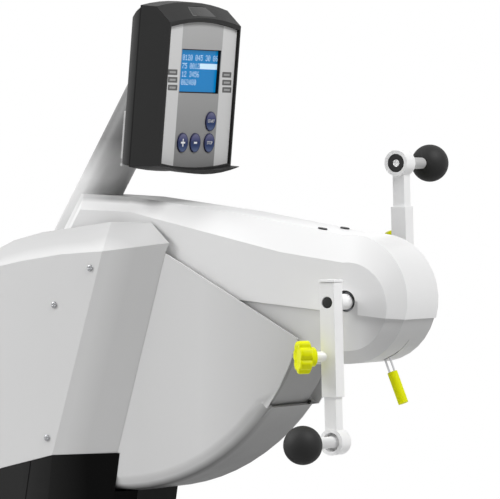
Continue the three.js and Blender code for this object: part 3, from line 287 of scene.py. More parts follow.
def lamp(name, place, size, power):
    """A round lamp of the size in metres and the power in watts that looks at the machine."""
    data = bpy.data.lights.new(name, "AREA")
    data.shape = "DISK"
    data.size = size
    data.energy = power
    made = add_object(name, data)
    made.location = place
    made.rotation_euler = (look_at - Vector(place)).to_track_quat("-Z", "Y").to_euler()


look_at = Vector((0.0, 0.0, 1.0))
lamp("left_up", (-3.4, -2.0, 3.4), size=1.8, power=106.0)
lamp("left_top", (-1.6, -1.2, 4.6), size=1.8, power=42.0)
lamp("left_side", (-4.5, -3.2, 1.8), size=1.8, power=30.0)
lamp("front_left", (-1.6, -5.4, 2.0), size=1.6, power=8.0)
lamp("right_high", (2.8, -0.4, 4.2), size=2.0, power=124.0)
lamp("right_side", (5.2, 0.6, 1.8), size=1.8, power=8.0)

floor_reach = 3.0
floor_corners = [(-floor_reach, -floor_reach, 0.0), (floor_reach, -floor_reach, 0.0)]
floor_corners += [(floor_reach, floor_reach, 0.0), (-floor_reach, floor_reach, 0.0)]
floor = add_mesh("floor", floor_corners, [(0, 1, 2, 3)])
bpy.context.scene.view_settings.view_transform = "Standard"
print("floor", 2 * floor_reach, "m square, world level", world_level)

# %% [markdown]
# The floor is pale matt board with a faint mottle, so that the machine's shadow shows on it.

# %% Finish of the floor
board = Finish("pale_floor", grey(238), 0.7)
board.set("Base Color", board.mottle(grey(234), grey(241), scale=3.0, detail=3.0))
board.set("Normal", board.bump(board.noise(scale=180.0), strength=0.05, distance=0.001))
floor.data.materials.append(board.material)
print("floor finish", board.material.name)

# %% [markdown]
# ## Painted steel
# The cranks, the mast and the floor frame are steel with satin powder paint. Paint is never
# quite flat: a fine orange peel bends its reflections, and a broad mottle shifts its sheen
# a little. The mast stands in the shade of the console, so a painted shade darkens its
# paint towards its top.

# %% Finish for painted pieces
def paint(name, level, roughness, peel=0.12):
    """Satin paint of a grey level: broad mottle in colour, fine orange peel in the bump."""
    made = Finish(name, grey(level), roughness)
    broad = made.noise(scale=5.0)
    made.set("Base Color", made.blend(broad, grey(level - 3), grey(level + 2)))
    made.wear(roughness, 0.05, broad)
    fine = made.noise(scale=420.0, detail=2.0)
    made.set("Normal", made.bump(fine, strength=peel, distance=0.0004))
    return made


white_paint = paint("white_paint", 252, roughness=0.34)
bracket_paint = paint("mast_paint", 206, roughness=0.4)
mast_paint = paint("shaded_mast_paint", 206, roughness=0.4)
dark_coat = paint("dark_powder_coat", 62, roughness=0.5, peel=0.3)

# Painted shade: the mast's paint darkens towards the top, where the console's shadow falls.
mast_shade_low, mast_shade_span = 1.22, 0.14
up_the_mast = (mast_paint.axes()[2] - mast_shade_low) / mast_shade_span
mast_paint.set("Base Color", mast_paint.ramp(up_the_mast, (0.15, grey(216)), (0.6, grey(114))))
print("with the paints there are", len(bpy.data.materials), "finishes")

# %% [markdown]
# ## Moulded plastic
# The shells come out of moulds with a fine spark-eroded grain. The grain is a noise with a
# wavelength of under a millimetre that only tilts the surface. It scatters highlights, and
# a few rubbed patches are smoother than the rest.

# %% Finish for moulded shells
def moulded(name, color, roughness, grain=0.25, grain_scale=1300.0, spread=0.04):
    """Grained plastic: colour and roughness follow a broad noise, the bump a fine one."""
    made = Finish(name, color, roughness)
    broad = made.noise(scale=4.0, detail=4.0)
    rubbed = made.noise(scale=23.0, detail=2.0)
    dark = tuple(c * (1 - spread) for c in color)
    light = tuple(min(1.0, c * (1 + spread)) for c in color)
    made.set("Base Color", made.blend(broad, dark, light))
    made.wear(roughness, 0.06, rubbed)
    fine = made.noise(grain_scale, detail=2.0)
    made.set("Normal", made.bump(fine, strength=grain, distance=0.0003))
    return made


head_shell = moulded("head_shell", grey(240), 0.38, grain=0.12)
under_shell = moulded("under_shell", grey(211), 0.42, grain=0.15)
column_shell = moulded("column_shell", grey(212), 0.42, grain=0.15)
drum_shell = moulded("drum_shell", grey(214), 0.42, grain=0.15)
apron_plastic = moulded("apron_plastic", grey(154), 0.5)
black_plastic = moulded("black_plastic", grey(30), 0.5, grain=0.5, grain_scale=700.0, spread=0.12)
cap_plastic = moulded("cap_plastic", grey(40), 0.4, grain=0.3, grain_scale=900.0, spread=0.1)
knob_plastic = moulded("knob_plastic", tint(232, 236, 0), 0.4, grain=0.06, spread=0.02)
grip_plastic = moulded("grip_plastic", tint(232, 236, 0), 0.5, grain=0.12, spread=0.02)
for yellow_finish in (knob_plastic, grip_plastic):
    yellow_finish.set("Specular IOR Level", 0.15)
shroud_plastic = moulded("shroud_plastic", grey(30), 0.5, grain=0.5, grain_scale=700.0, spread=0.12)
ball_rubber = moulded("ball_rubber", grey(28), 0.6, grain=0.3, grain_scale=1500.0, spread=0.1)
soft_rubber = moulded("soft_rubber", grey(40), 0.75, grain=0.5, grain_scale=900.0, spread=0.15)
for dark_finish in (black_plastic, ball_rubber, cap_plastic, soft_rubber):
    dark_finish.set("Specular IOR Level", 0.3)
shroud_plastic.set("Specular IOR Level", 0.06)
print("with the mouldings there are", len(bpy.data.materials), "finishes")

# %% [markdown]
# Some mouldings change tone over their length, mostly as painted light and shade. The drum
# has light side panels with painted light and shade towards the front, and its rolled wall is
# the apron's darker grey, which painted shade deepens towards the underside. The lower shell
# has painted light before the nose and painted shade at its tip. The column covers have painted
# light on their flats and painted shade on the facets beside them. The shroud round the post
# has painted shade, deepest where it faces the user. The upper shell has painted shade inside
# the bore that the crank's collar runs in, and its top has the painted shadow of the mast,
# from the mast's foot to the middle.

# %% Tones that follow a piece's shape
wall_low, wall_high = 0.74, 0.90
wall_side, wall_fade = 0.078, 0.010
panel_front, panel_wander = 0.27, 0.03
x, y, z = drum_shell.axes()
up_the_wall = (z - wall_low) / (wall_high - wall_low)
# Painted shade: the wall's grey darkens towards the underside.
wall_grey_and_painted_shade = drum_shell.ramp(up_the_wall, (0.0, grey(70)), (1.0, grey(158)))
# Painted light and shade: the side panels are lightest a little way forward and darker at the
# front.
to_the_front = (x + drum_shell.noise(scale=4.0, detail=4.0) * panel_wander) / panel_front
panel_painted_light_and_shade = drum_shell.ramp(to_the_front, (0.0, grey(214)), (0.4, grey(221)), (1.0, grey(199)))
on_wall = ((wall_side - abs(y)) / wall_fade).clipped()
drum_shell.set("Base Color", drum_shell.blend(on_wall, panel_painted_light_and_shade, wall_grey_and_painted_shade))

# Painted light and shade: the lower shell lightens towards the nose and darkens at its tip.
nose_start, nose_length, nose_wander = 0.27, 0.19, 0.02
wander = under_shell.noise(scale=4.0, detail=4.0) * nose_wander
to_the_nose = (under_shell.axes()[0] - nose_start + wander) / nose_length
nose_painted_light_and_shade = under_shell.ramp(to_the_nose, (0.0, grey(211)), (0.6, grey(219)), (1.0, grey(195)))
under_shell.set("Base Color", nose_painted_light_and_shade)

# Painted shade on the column covers' facets and painted light on their flats.
flat_side, flat_fade = 0.098, 0.012
on_flat = ((abs(column_shell.axes()[1]) - flat_side) / flat_fade).clipped()
facet_painted_shade = column_shell.mottle(grey(202), grey(208))
flat_painted_light = column_shell.mottle(grey(218), grey(224))
column_shell.set("Base Color", column_shell.blend(on_flat, facet_painted_shade, flat_painted_light))

# Painted light and shade: the shroud is lighter at the rear and darkest where it faces the user.
shroud_rear, shroud_length = -0.226, 0.135
to_the_user = (shroud_plastic.axes()[0] - shroud_rear) / shroud_length
shroud_plastic.set("Base Color", shroud_plastic.ramp(to_the_user, (0.0, grey(52)), (0.85, grey(7))))

bore_reach = 0.0175
shade_start, shade_length = -0.185, 0.267
shade_side, shade_turn, shade_slope, shade_fade = -0.0615, -0.06, 0.11, 0.006
joint_of = {j["name"]: j for j in frame["record"]["behaviour"]["joints"]}
axle_place = joint_of["crank_spin"]["pos_m"]
x, y, z = head_shell.axes()
across, up = x - axle_place[0], z - axle_place[2]
# Painted shade: near black inside the bore of the crank's collar.
bore_painted_shade = (across * across + up * up).below(bore_reach * bore_reach)
# Painted shadow of the mast on the head's top, from the mast's foot to the middle.
along_the_top = (x - shade_start) / shade_length
shade_stops = [(0.0, grey(240)), (0.35, grey(145)), (0.65, grey(145)), (0.95, grey(240))]
shade_tone = head_shell.ramp(along_the_top, *shade_stops)
shade_edge = (x - shade_turn).most(0.0) * shade_slope + shade_side
in_shade = ((y - shade_edge) / shade_fade).clipped()
shell_tone = head_shell.blend(in_shade, head_shell.mottle(grey(237), grey(243)), shade_tone)
head_shell.set("Base Color", head_shell.blend(bore_painted_shade, shell_tone, grey(8)))
print("bore of the shell", 2000 * bore_reach, "mm across")

# %% [markdown]
# ## Bare metal
# Screws, shafts and rods are turned or drawn steel, and the flywheel is cast. Fine lines
# run along a drawn piece. Stretched noise gives them: its scale is high across the lines
# and low along them. Equal scales leave an even grain instead.

# %% Finish for steel and iron
def metal(name, color, roughness, stretch=(60.0, 60.0, 1800.0), strength=0.15):
    """Metal with fine lines: noise on coordinates that are stretched by a Mapping node."""
    made = Finish(name, color, roughness, 1.0)
    stretched = made.node("Mapping", None, {"Vector": made.place(), "Scale": stretch}).outputs[0]
    lines = made.noise(scale=1.0, detail=4.0, rough=0.6, at=stretched)
    made.wear(roughness, 0.08, lines)
    dark = tuple(c * 0.88 for c in color)
    made.set("Base Color", made.blend(lines, dark, color))
    made.set("Normal", made.bump(lines, strength, distance=0.0002))
    return made


bright_steel = metal("bright_steel", tint(200, 200, 202), 0.3)
screw_steel = metal("screw_steel", tint(150, 151, 153), 0.2, [300.0] * 3, strength=0.08)
frame_steel = metal("frame_steel", tint(150, 151, 155), 0.45, (200.0, 200.0, 500.0), strength=0.25)
cast_iron = metal("cast_iron", tint(95, 97, 101), 0.55, [700.0] * 3, strength=0.5)
print("metals", [m.name for m in bpy.data.materials if "steel" in m.name or "iron" in m.name])

# %% [markdown]
# ## Rounded copies of the frame's pieces
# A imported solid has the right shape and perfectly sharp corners, and nothing that is
# pressed, moulded or painted has those. A copy of the mesh is merged into one skin, its
# flat faces are joined, and a Bevel modifier rounds every edge over an angle. Weighted
# normals then keep the flats flat and let the bevels and the curved strips shade smoothly.

# %% Helpers that copy, round and register pieces
bodies = frame["record"]["behaviour"]["bodies"]
body_of_node = {node: body for body, nodes in bodies.items() for node in nodes}
weld_distance = 2e-6
flat_angle = np.radians(0.6)
flat_weight = 80


def register(piece, node, finish, body=None):
    """The piece stands for the node, if any, rides on its body and takes the finish."""
    piece.data.materials.clear()
    piece.data.materials.append(finish.material)
    if node is not None:
        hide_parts(node)
    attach(piece, body or body_of_node[node])
    return piece


def merged_copy(node, name):
    """The node's mesh with its doubles merged and its flat faces joined, as a new object."""
    mesh = frame["nodes"][node].data.copy()
    mesh.name = name
    skin = bmesh.new()
    skin.from_mesh(mesh)
    bmesh.ops.remove_doubles(skin, verts=skin.verts, dist=weld_distance)
    bmesh.ops.dissolve_limit(skin, angle_limit=flat_angle, verts=skin.verts, edges=skin.edges)
    skin.to_mesh(mesh)
    skin.free()
    return add_object(name, mesh)


def rounded(node, finish, width, angle, segments):
    """A merged copy whose edges over the angle are rounded to the width."""
    piece = merged_copy(node, "rounded_" + node)
    for polygon in piece.data.polygons:
        polygon.use_smooth = True
    bevel = piece.modifiers.new("edges", "BEVEL")
    bevel.width = width
    bevel.segments = segments
    bevel.limit_method = "ANGLE"
    bevel.angle_limit = np.radians(angle)
    bevel.miter_outer = "MITER_ARC"
    weighted = piece.modifiers.new("weighted", "WEIGHTED_NORMAL")
    weighted.weight = flat_weight
    return register(piece, node, finish)


def round_all(finish, width, *nodes, angle=32.0, segments=3):
    for node in nodes:
        rounded(node, finish, width, angle, segments)
    print(len(nodes), "rounded by", round(width * 1000, 2), "mm:", ", ".join(nodes))


print("nodes on bodies", len(body_of_node))

# %% [markdown]
# ## The stand
# The floor frame is welded from rectangular tube with rolled corners, so it gets a wide
# rounding. The plastic caps are moulded with softer edges still. The column's covers are
# large thin mouldings with crisp edges of about two millimetres.

# %% Dress the floor frame and the column
round_all(dark_coat, 0.006, "base_beam", "front_foot")
round_all(dark_coat, 0.0025, "rear_foot")
for place in ("front_left", "front_right", "rear_left", "rear_right"):
    round_all(cap_plastic, 0.005, "foot_cap_" + place)
round_all(frame_steel, 0.0012, "column_post", "pivot_shaft")
round_all(shroud_plastic, 0.0022, "lower_cover", angle=12.0)
round_all(column_shell, 0.0022, "left_column_cover", "right_column_cover", angle=14.0)
round_all(drum_shell, 0.0012, "drum_cover", angle=40.0)

# %% [markdown]
# ## The head
# The upper shell and the lower shell meet at a seam. The upper one is thick plastic with
# broad, soft corners where the top bends over to the sides. Inside is a steel frame with
# the flywheel, the belt drive and the brake, which show only when the shells are off.

# %% Dress the head and its drive
round_all(head_shell, 0.004, "head_upper_shell", angle=20.0, segments=4)
round_all(under_shell, 0.003, "head_lower_shell", angle=20.0, segments=4)
round_all(apron_plastic, 0.0012, "head_apron")
round_all(mast_paint, 0.0008, "mast", angle=40.0)
round_all(frame_steel, 0.001, "head_frame", angle=40.0)
round_all(cast_iron, 0.0012, "flywheel", "drive_pulley", "brake_magnet", angle=40.0)
round_all(soft_rubber, 0.0006, "drive_belt", "drum_stop", angle=40.0)
round_all(cap_plastic, 0.0006, "left_head_cap", "right_head_cap", angle=40.0)
round_all(bright_steel, 0.0005, "crank_axle", "gas_spring_rod", angle=40.0)
round_all(cap_plastic, 0.001, "gas_spring_cylinder", angle=40.0)

# %% [markdown]
# ## The cranks
# Each crank is a square sleeve on the axle with a second square tube that slides in it.
# The knob clamps the tube, so the crank's length can be set. Both tubes are painted, with
# small rolled corners. The hub's cap is dark on its inboard side, which shows round the
# bolt's end, and pale where it faces the ball.

# %% Dress the cranks
hub_finish = moulded("hub_plastic", grey(30), 0.45, grain=0.3, grain_scale=900.0, spread=0.1)
hub_finish.set("Specular IOR Level", 0.3)
pale_depth = 0.0012
cap_outer_side = max(abs(corner[1]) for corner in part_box("left_hub_cap"))
pale_side = abs(hub_finish.axes()[1]).above(cap_outer_side - pale_depth)
hub_finish.set("Base Color", hub_finish.blend(pale_side, grey(30), grey(240)))
for side in ("left", "right"):
    round_all(white_paint, 0.0011, side + "_crank_sleeve", angle=40.0)
    round_all(white_paint, 0.0018, side + "_crank_tube", angle=40.0)
    round_all(white_paint, 0.0006, side + "_sleeve_cap", angle=40.0)
    round_all(hub_finish, 0.0008, side + "_hub_cap", angle=40.0)
    round_all(soft_rubber, 0.002, side + "_transport_wheel", angle=40.0)

# %% [markdown]
# ## Turned pieces
# Balls, knobs, screws, plugs and spindles are turned, so each is a profile swept round an
# axis. A point of the profile has a distance along the axis and a radius, and the sweep
# gives every turned piece the same even quads. A screw's cross recess is pressed into the
# finished surface: inside the arms of a cross, points sink by the depth of the recess.

# %% Helpers that sweep a profile and press a cross into a head
def smooth_step(low, high, value):
    """0 below low, 1 above high and 3t^2 - 2t^3 between, with t = (value - low) / (high - low)."""
    t = np.clip((np.asarray(value, float) - low) / (high - low), 0.0, 1.0)
    return t * t * (3.0 - 2.0 * t)


def frame_of(axis):
    """Three unit vectors as rows: two across the axis and the axis itself."""
    along = np.array(axis, float) / np.linalg.norm(axis)
    across = np.cross((0.0, 0.0, 1.0), along)
    if np.linalg.norm(across) < 0.1:
        across = np.cross((1.0, 0.0, 0.0), along)
    across /= np.linalg.norm(across)
    return np.array([across, np.cross(along, across), along])


def turned(name, profile, start, axis, steps=48, press=None, lobes=None):
    """Points start + r cos(a) x + r sin(a) y + s z for each (s, r) of the profile.

    Both ends are closed. press sinks points along the axis, and lobes scales their radius.
    """
    frame_rows = frame_of(axis)
    s, r = np.array(profile, float).T
    angle = np.linspace(0.0, 2.0 * np.pi, steps, endpoint=False)
    radius = np.repeat(r[:, None], steps, axis=1)
    if lobes is not None:
        radius = radius * lobes(s[:, None], radius, angle[None, :])
    depth = np.repeat(s[:, None], steps, axis=1)
    local = np.stack([radius * np.cos(angle), radius * np.sin(angle), depth], axis=-1)
    if press is not None:
        local[..., 2] -= press(local[..., 0], local[..., 1])
    points = (local.reshape(-1, 3) @ frame_rows) + np.array(start, float)
    rows = len(profile)
    i, j = np.meshgrid(np.arange(rows - 1), np.arange(steps), indexing="ij")
    here, beside = i * steps + j, i * steps + (j + 1) % steps
    quads = np.stack([here, beside, beside + steps, here + steps], -1)
    ends = [tuple(range(steps))[::-1], tuple(range((rows - 1) * steps, rows * steps))]
    piece = add_mesh(name, points.tolist(), quads.reshape(-1, 4).tolist() + ends)
    for polygon in piece.data.polygons:
        polygon.use_smooth = len(polygon.vertices) == 4
    return piece


def cross_press(size, depth):
    """The depth of a cross recess: full in arms of half-width size / 5, 0 past their length."""
    def press(x, y):
        in_arm = 1 - smooth_step(0.14 * size, 0.26 * size, np.minimum(np.abs(x), np.abs(y)))
        in_reach = 1 - smooth_step(0.75 * size, size, np.hypot(x, y))
        return depth * in_arm * in_reach
    return press


def dome(radius, rise, edge, rings=14):
    """Profile of a screw head: a low edge, then s = edge + rise * sqrt(1 - (r / radius)^2)."""
    profile = [(0.0, radius * 0.97), (edge, radius)]
    for a in np.linspace(0.0, np.pi / 2, rings)[1:]:
        profile.append((edge + rise * float(np.sin(a)), radius * max(float(np.cos(a)), 0.02)))
    return profile


def centre_of(node):
    low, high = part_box(node)
    return (np.array(low) + np.array(high)) / 2


sides = (("left", -1.0), ("right", 1.0))
print("a dome has", len(dome(0.005, 0.002, 0.0005)), "rings")

# %% [markdown]
# ## Handles, knobs and screws
# A handle is a rubber ball on a spindle of pale satin metal. The spindle's inner end is a
# bright bolt with a cross recess, which shows in the middle of the hub cap's dark side. The
# knob has seven broad lobes between narrow scallops, and a dished face:
# `r = R (1 - d ((1 + cos(7 a + p)) / 2)^3)`, with d fading out towards the dish.

# %% Turn the handles
satin_roughness, bolt_roughness = 0.42, 0.16
bolt_length = 0.003
handle_metal = paint("satin_zinc_paint", 246, satin_roughness, 0.05)
bolt_end = min(abs(corner[1]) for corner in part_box("left_handle_ball")) + bolt_length
on_bolt = abs(handle_metal.axes()[1]).below(bolt_end)
satin_tone = handle_metal.mottle(grey(243), grey(248), scale=5.0, detail=3.0)
handle_metal.set("Base Color", handle_metal.blend(on_bolt, satin_tone, grey(205)))
handle_metal.set("Metallic", on_bolt)
handle_metal.set("Roughness", satin_roughness - on_bolt * (satin_roughness - bolt_roughness))

ball_radius = 0.030
spindle_radius, bearing_radius, bolt_radius = 0.009, 0.0143, 0.0064
cap_depth, bearing_depth = 0.0073, 0.006
shoulder = cap_depth + bearing_depth
bolt_recess, bolt_recess_depth = 0.0056, 0.0016
spindle_in_ball = 0.6 * ball_radius
turn = np.linspace(0.0, np.pi, 40)[1:-1]
ball_profile = [(-ball_radius * float(np.cos(a)), ball_radius * float(np.sin(a))) for a in turn]
bolt_profile = [(0.0, bolt_radius * float(share)) for share in np.linspace(0.03, 0.82, 14)]
bolt_profile += [(0.0002, bolt_radius * 0.9), (0.0008, bolt_radius), (cap_depth, bolt_radius)]
bolt_profile += [(cap_depth, bearing_radius), (shoulder, bearing_radius)]
bolt_profile += [(shoulder, spindle_radius)]
for side, way in sides:
    node = side + "_handle_ball"
    hub = joint_of[side + "_handle_spin"]["pos_m"]
    reach_y = [abs(corner[1]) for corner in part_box(node)]
    inner_end, outer_end = min(reach_y), max(reach_y)
    ball_centre = outer_end - ball_radius
    out = (0.0, way, 0.0)
    ball = turned(side + "_ball", ball_profile, (hub[0], way * ball_centre, hub[2]), out, steps=72)
    register(ball, node, ball_rubber)
    spindle_profile = bolt_profile + [(ball_centre - inner_end - spindle_in_ball, spindle_radius)]
    recess = cross_press(bolt_recess, -bolt_recess_depth)
    spindle_start = (hub[0], way * inner_end, hub[2])
    spindle = turned(side + "_spindle", spindle_profile, spindle_start, out, steps=64, press=recess)
    register(spindle, None, handle_metal, side + "_handle")
    print(side, "ball at", [round(float(v), 4) for v in (hub[0], way * ball_centre, hub[2])])

# %% Turn the knobs
knob_radius, neck_radius = 0.026, 0.015
knob_start = 0.02618
scallop_count, scallop_depth = 7, 0.17
scallop_turn = np.radians(8.0)
scallop_from, scallop_full = knob_start + 0.0105, knob_start + 0.0125
dish_edge, lobe_root = 0.012, 0.02


def scalloped(s, r, angle):
    """1 - d ((1 + cos(7 a + p)) / 2)^3 on the head, and 1 on the neck and in the dish."""
    groove = ((1.0 + np.cos(scallop_count * (angle + scallop_turn))) / 2.0) ** 3
    on_head = smooth_step(scallop_from, scallop_full, s) * smooth_step(dish_edge, lobe_root, r)
    return 1.0 - scallop_depth * groove * on_head


def round_corner(s, r, radius, quarter, rings=6):
    """Points of a quarter circle that joins a side to a face; quarter is its first angle."""
    turn = np.radians(np.linspace(quarter, quarter + 90.0, rings))
    return [(s + radius * float(np.cos(a)), r + radius * float(np.sin(a))) for a in turn][::-1]


head_from = knob_start + 0.011
head_to = head_from + 0.019
heel_radius, face_corner, dish_depth = 0.003, 0.004, 0.0026
pin_start, pin_radius = 0.0149, 0.0039
dish_radius = knob_radius - face_corner
knob_profile = [(pin_start, 0.0002), (pin_start, pin_radius), (knob_start, pin_radius)]
knob_profile += [(knob_start, 0.0115), (knob_start + 0.0008, 0.0128)]
knob_profile += [(knob_start + 0.003, neck_radius), (head_from - 0.001, neck_radius)]
knob_profile += [(head_from, neck_radius + 0.001), (head_from, dish_radius)]
knob_profile += round_corner(head_from + heel_radius, knob_radius - heel_radius, heel_radius, 90.0)
knob_profile += round_corner(head_to - face_corner, dish_radius, face_corner, 0.0)
for share in np.linspace(0.0, 1.0, 9)[1:]:
    sunk = dish_depth * float(smooth_step(0.05, 0.42, share))
    knob_profile.append((head_to - sunk, dish_radius * (1.0 - float(share)) + 0.0005))
for side, way in sides:
    joint = joint_of[side + "_knob_turn"]
    place, axis = joint["pos_m"], joint["axis"]
    knob = turned(side + "_star_knob", knob_profile, place, axis, steps=140, lobes=scalloped)
    register(knob, side + "_knob", knob_plastic)
print("knob profile", len(knob_profile), "rings")

# %% Turn the screws and the plugs
cover_face, plug_face = 0.1153, 0.1265
screw_radius, screw_rise, screw_edge = 0.0054, 0.0019, 0.0005
shank_length, shank_radius = 0.012, 0.0024
screw_recess, screw_recess_depth = 0.0036, 0.0012
screw_profile = [(-shank_length, shank_radius), (0.0, shank_radius)]
screw_profile += dome(screw_radius, screw_rise, screw_edge)
plug_profile = [(0.0, 0.0086), (0.0016, 0.0086), (0.0021, 0.0082), (0.0023, 0.0076)]
plug_profile += [(0.0024, 0.004), (0.0024, 0.0002)]
for side, way in sides:
    out = (0.0, way, 0.0)
    for place in ("top", "middle", "bottom"):
        node = side + "_cover_screw_" + place
        at = centre_of(node)
        start = (at[0], way * cover_face, at[2])
        recess = cross_press(screw_recess, screw_recess_depth)
        screw = turned(side + "_screw_" + place, screw_profile, start, out, steps=64, press=recess)
        register(screw, node, screw_steel)
    start = (axle_place[0], way * plug_face, axle_place[2])
    plug = turned(side + "_axle_plug", plug_profile, start, out)
    register(plug, None, black_plastic, "crank")
print("screw profile", len(screw_profile), "rings, plug profile", len(plug_profile), "rings")

# %% [markdown]
# ## The console's face
# The face leans back by five degrees, so its own upward direction is a mix of two axes:
# `v = (x - x0) sin t + (z - z0) cos t`. The print on the foil is drawn with distances to
# rounded boxes: `d = |max(|p| - h, 0)| - r` is below 0 inside a box of half-size h + r.
# Two silver strips border a grey field that darkens downwards, and six dark labels, each
# with a row of plain pale dashes, stand beside the display.

# %% Measure on the console's face
face_x, face_z = 0.0332, 1.2603
panel_depth, screen_depth = -0.0045, -0.0095
face_lean = np.radians(5.0)


def on_face(u, v, out=0.0):
    """The point u to the right and v up the face, raised by out."""
    x = face_x + out * np.cos(face_lean) + v * np.sin(face_lean)
    return (float(x), float(u), float(face_z - out * np.sin(face_lean) + v * np.cos(face_lean)))


def face_axes(finish):
    """u across the face, v up it and w out of it, in metres."""
    x, y, z = finish.axes()
    sine, cosine = float(np.sin(face_lean)), float(np.cos(face_lean))
    forward, upward = x - face_x, z - face_z
    return y, forward * sine + upward * cosine, forward * cosine - upward * sine


def inside_box(u, v, centre, half, corner, soft=0.00025):
    """1 inside a rounded box, 0 outside, with a thin soft edge."""
    across = (abs(u - centre[0]) - (half[0] - corner)).most(0.0)
    upward = (abs(v - centre[1]) - (half[1] - corner)).most(0.0)
    distance = (across * across + upward * upward).power(0.5) - corner
    return (distance / -soft).clipped()


label_centres = [(-0.0832, 0.1487), (-0.0815, 0.1366), (-0.0798, 0.1243)]
label_centres += [(0.0818, 0.1476), (0.0836, 0.1350), (0.0853, 0.1232)]
label_half, label_corner = (0.0142, 0.0046), 0.0016
dash_half, dash_corner = (0.0092, 0.0017), 0.0004
dash_pitch, dash_gap = 0.0026, 0.00035
dash_strength = 0.75
strip_edge, strip_soft = 0.0613, 0.0003
foil_low, foil_height, foil_thickness = 0.004, 0.216, 0.0003
print("face starts at", on_face(0.0, 0.0))

# %% Finish of the printed foil
foil = Finish("printed_foil", grey(190), 0.38)
foil.set("Specular IOR Level", 0.35)
u, v, w = face_axes(foil)
height = ((v - foil_low) / foil_height).clipped()
field = foil.blend(height, grey(118), grey(176))
strips = ((abs(u) - strip_edge) / strip_soft).clipped()
strip_color = foil.blend(height, grey(204), grey(214))
printed = foil.blend(strips, field, strip_color)
labels = fold([inside_box(u, v, at, label_half, label_corner) for at in label_centres], Flow.most)
dashes = fold([inside_box(u, v, at, dash_half, dash_corner) for at in label_centres], Flow.most)
inked = u.from_line(dash_pitch).above(dash_gap)
printed = foil.blend(labels, printed, grey(86))
printed = foil.blend(dashes * inked * dash_strength, printed, grey(196))
edge_side = w.below(panel_depth - foil_thickness)
foil.set("Base Color", foil.blend(edge_side, printed, grey(16)))
speckle = foil.noise(scale=900.0, detail=2.0)
foil.set("Roughness", 0.36 + strips * 0.04 + speckle * 0.08)
foil.set("Normal", foil.bump(speckle, strength=0.08, distance=0.0001))
print("labels", len(label_centres))

# %% [markdown]
# The display is a blue backlit panel inside a black edge. Its figures are dots in a grid
# of five by seven, as on any such display, and all the dots are one mesh of small squares.
# The keys are glossy navy domes with a painted sheen, pale violet at the top and paler at the foot.

# %% Finish of the display and the keys
lcd = Finish("lcd_blue", tint(20, 96, 168), 0.25)
u, v = face_axes(lcd)[:2]
cell = 0.00128
line_share, line_strength = 0.12, 0.25
screen_middle, screen_half = 0.1515, (0.0595, 0.035)
edge_u, edge_v = 0.0014, 0.0018
beside = abs(u).above(screen_half[0] - edge_u)
inner_edge = beside.most(abs(v - screen_middle).above(screen_half[1] - edge_v))
grid = u.from_line(cell).least(v.from_line(cell)).below(line_share * cell / 2)
glow = lcd.noise(scale=9.0, detail=2.0)
lit = lcd.blend(grid * line_strength, tint(4, 86, 140), tint(10, 104, 160))
lcd.set("Base Color", lcd.blend(inner_edge, lit, grey(14)))
light = lcd.blend(glow, tint(8, 116, 172), tint(14, 124, 182))
lcd.set("Emission Color", lcd.blend(inner_edge, light, grey(0)))
lcd.set("Emission Strength", 0.6)
lcd.set("Specular IOR Level", 0.15)
lcd.wear(0.25, 0.05, glow)

lcd_dots = Finish("lcd_dots", tint(206, 226, 240), 0.4)
lcd_dots.set("Emission Color", tint(150, 190, 220))
lcd_dots.set("Emission Strength", 0.35)
dot_grain = lcd_dots.noise(scale=600.0)
lcd_dots.set("Base Color", lcd_dots.blend(dot_grain, tint(190, 216, 234), tint(216, 234, 246)))

key_gloss = Finish("key_gloss", tint(40, 60, 100), 0.24, coat=0.05)
key_gloss.set("Specular IOR Level", 0.12)
u, v = face_axes(key_gloss)[:2]
low_row, high_row, key_radius = 0.0371, 0.0720, 0.0155
plus_u, minus_u, word_u = -0.03976, -0.00194, 0.04105
key_centres = [(plus_u, low_row), (minus_u, low_row), (word_u, low_row), (word_u, high_row)]
squared = [(u - key_u) * (u - key_u) + (v - key_v) * (v - key_v) for key_u, key_v in key_centres]
from_middle = fold(squared, Flow.least).power(0.5) / key_radius
upper = v.above((low_row + high_row) / 2)
rise = (v - low_row - upper * (high_row - low_row)) / key_radius
# Painted sheen: the keys run from pale at the foot through navy to pale violet at the top.
key_sheen_stops = [(0.0, tint(84, 100, 138)), (0.34, tint(6, 44, 92)), (0.54, tint(8, 38, 86))]
key_sheen_stops += [(0.68, tint(66, 70, 112)), (1.0, tint(112, 112, 142))]
key_painted_sheen = key_gloss.ramp(rise * 0.5 + 0.5, *key_sheen_stops)
ring_from, ring_soft, ring_strength = 0.86, 0.06, 0.8
ring = ((from_middle - ring_from) / ring_soft).clipped()
key_gloss.set("Base Color", key_gloss.blend(ring * ring_strength, key_painted_sheen, tint(28, 30, 66)))
key_gloss.wear(0.24, 0.04, key_gloss.noise(scale=300.0))
print("display and key finishes made")

# %% Draw the figures on the display
DOTS = {
    "0": "01110 10001 10011 10101 11001 10001 01110",
    "1": "00100 01100 00100 00100 00100 00100 01110",
    "2": "01110 10001 00001 00110 01000 10000 11111",
    "3": "01110 10001 00001 00110 00001 10001 01110",
    "4": "00010 00110 01010 10010 11111 00010 00010",
    "5": "11111 10000 11110 00001 00001 10001 01110",
    "6": "00110 01000 10000 11110 10001 10001 01110",
    "7": "11111 00001 00010 00100 01000 01000 01000",
    "8": "01110 10001 10001 01110 10001 10001 01110",
    "9": "01110 10001 10001 01111 00001 00010 01100",
}
dot_depth = screen_depth + 0.00015
dot_share = 0.86
figures_left = -0.0480


def corners_of(u0, v0, u1, v1):
    return [(u0, v0), (u1, v0), (u1, v1), (u0, v1)]


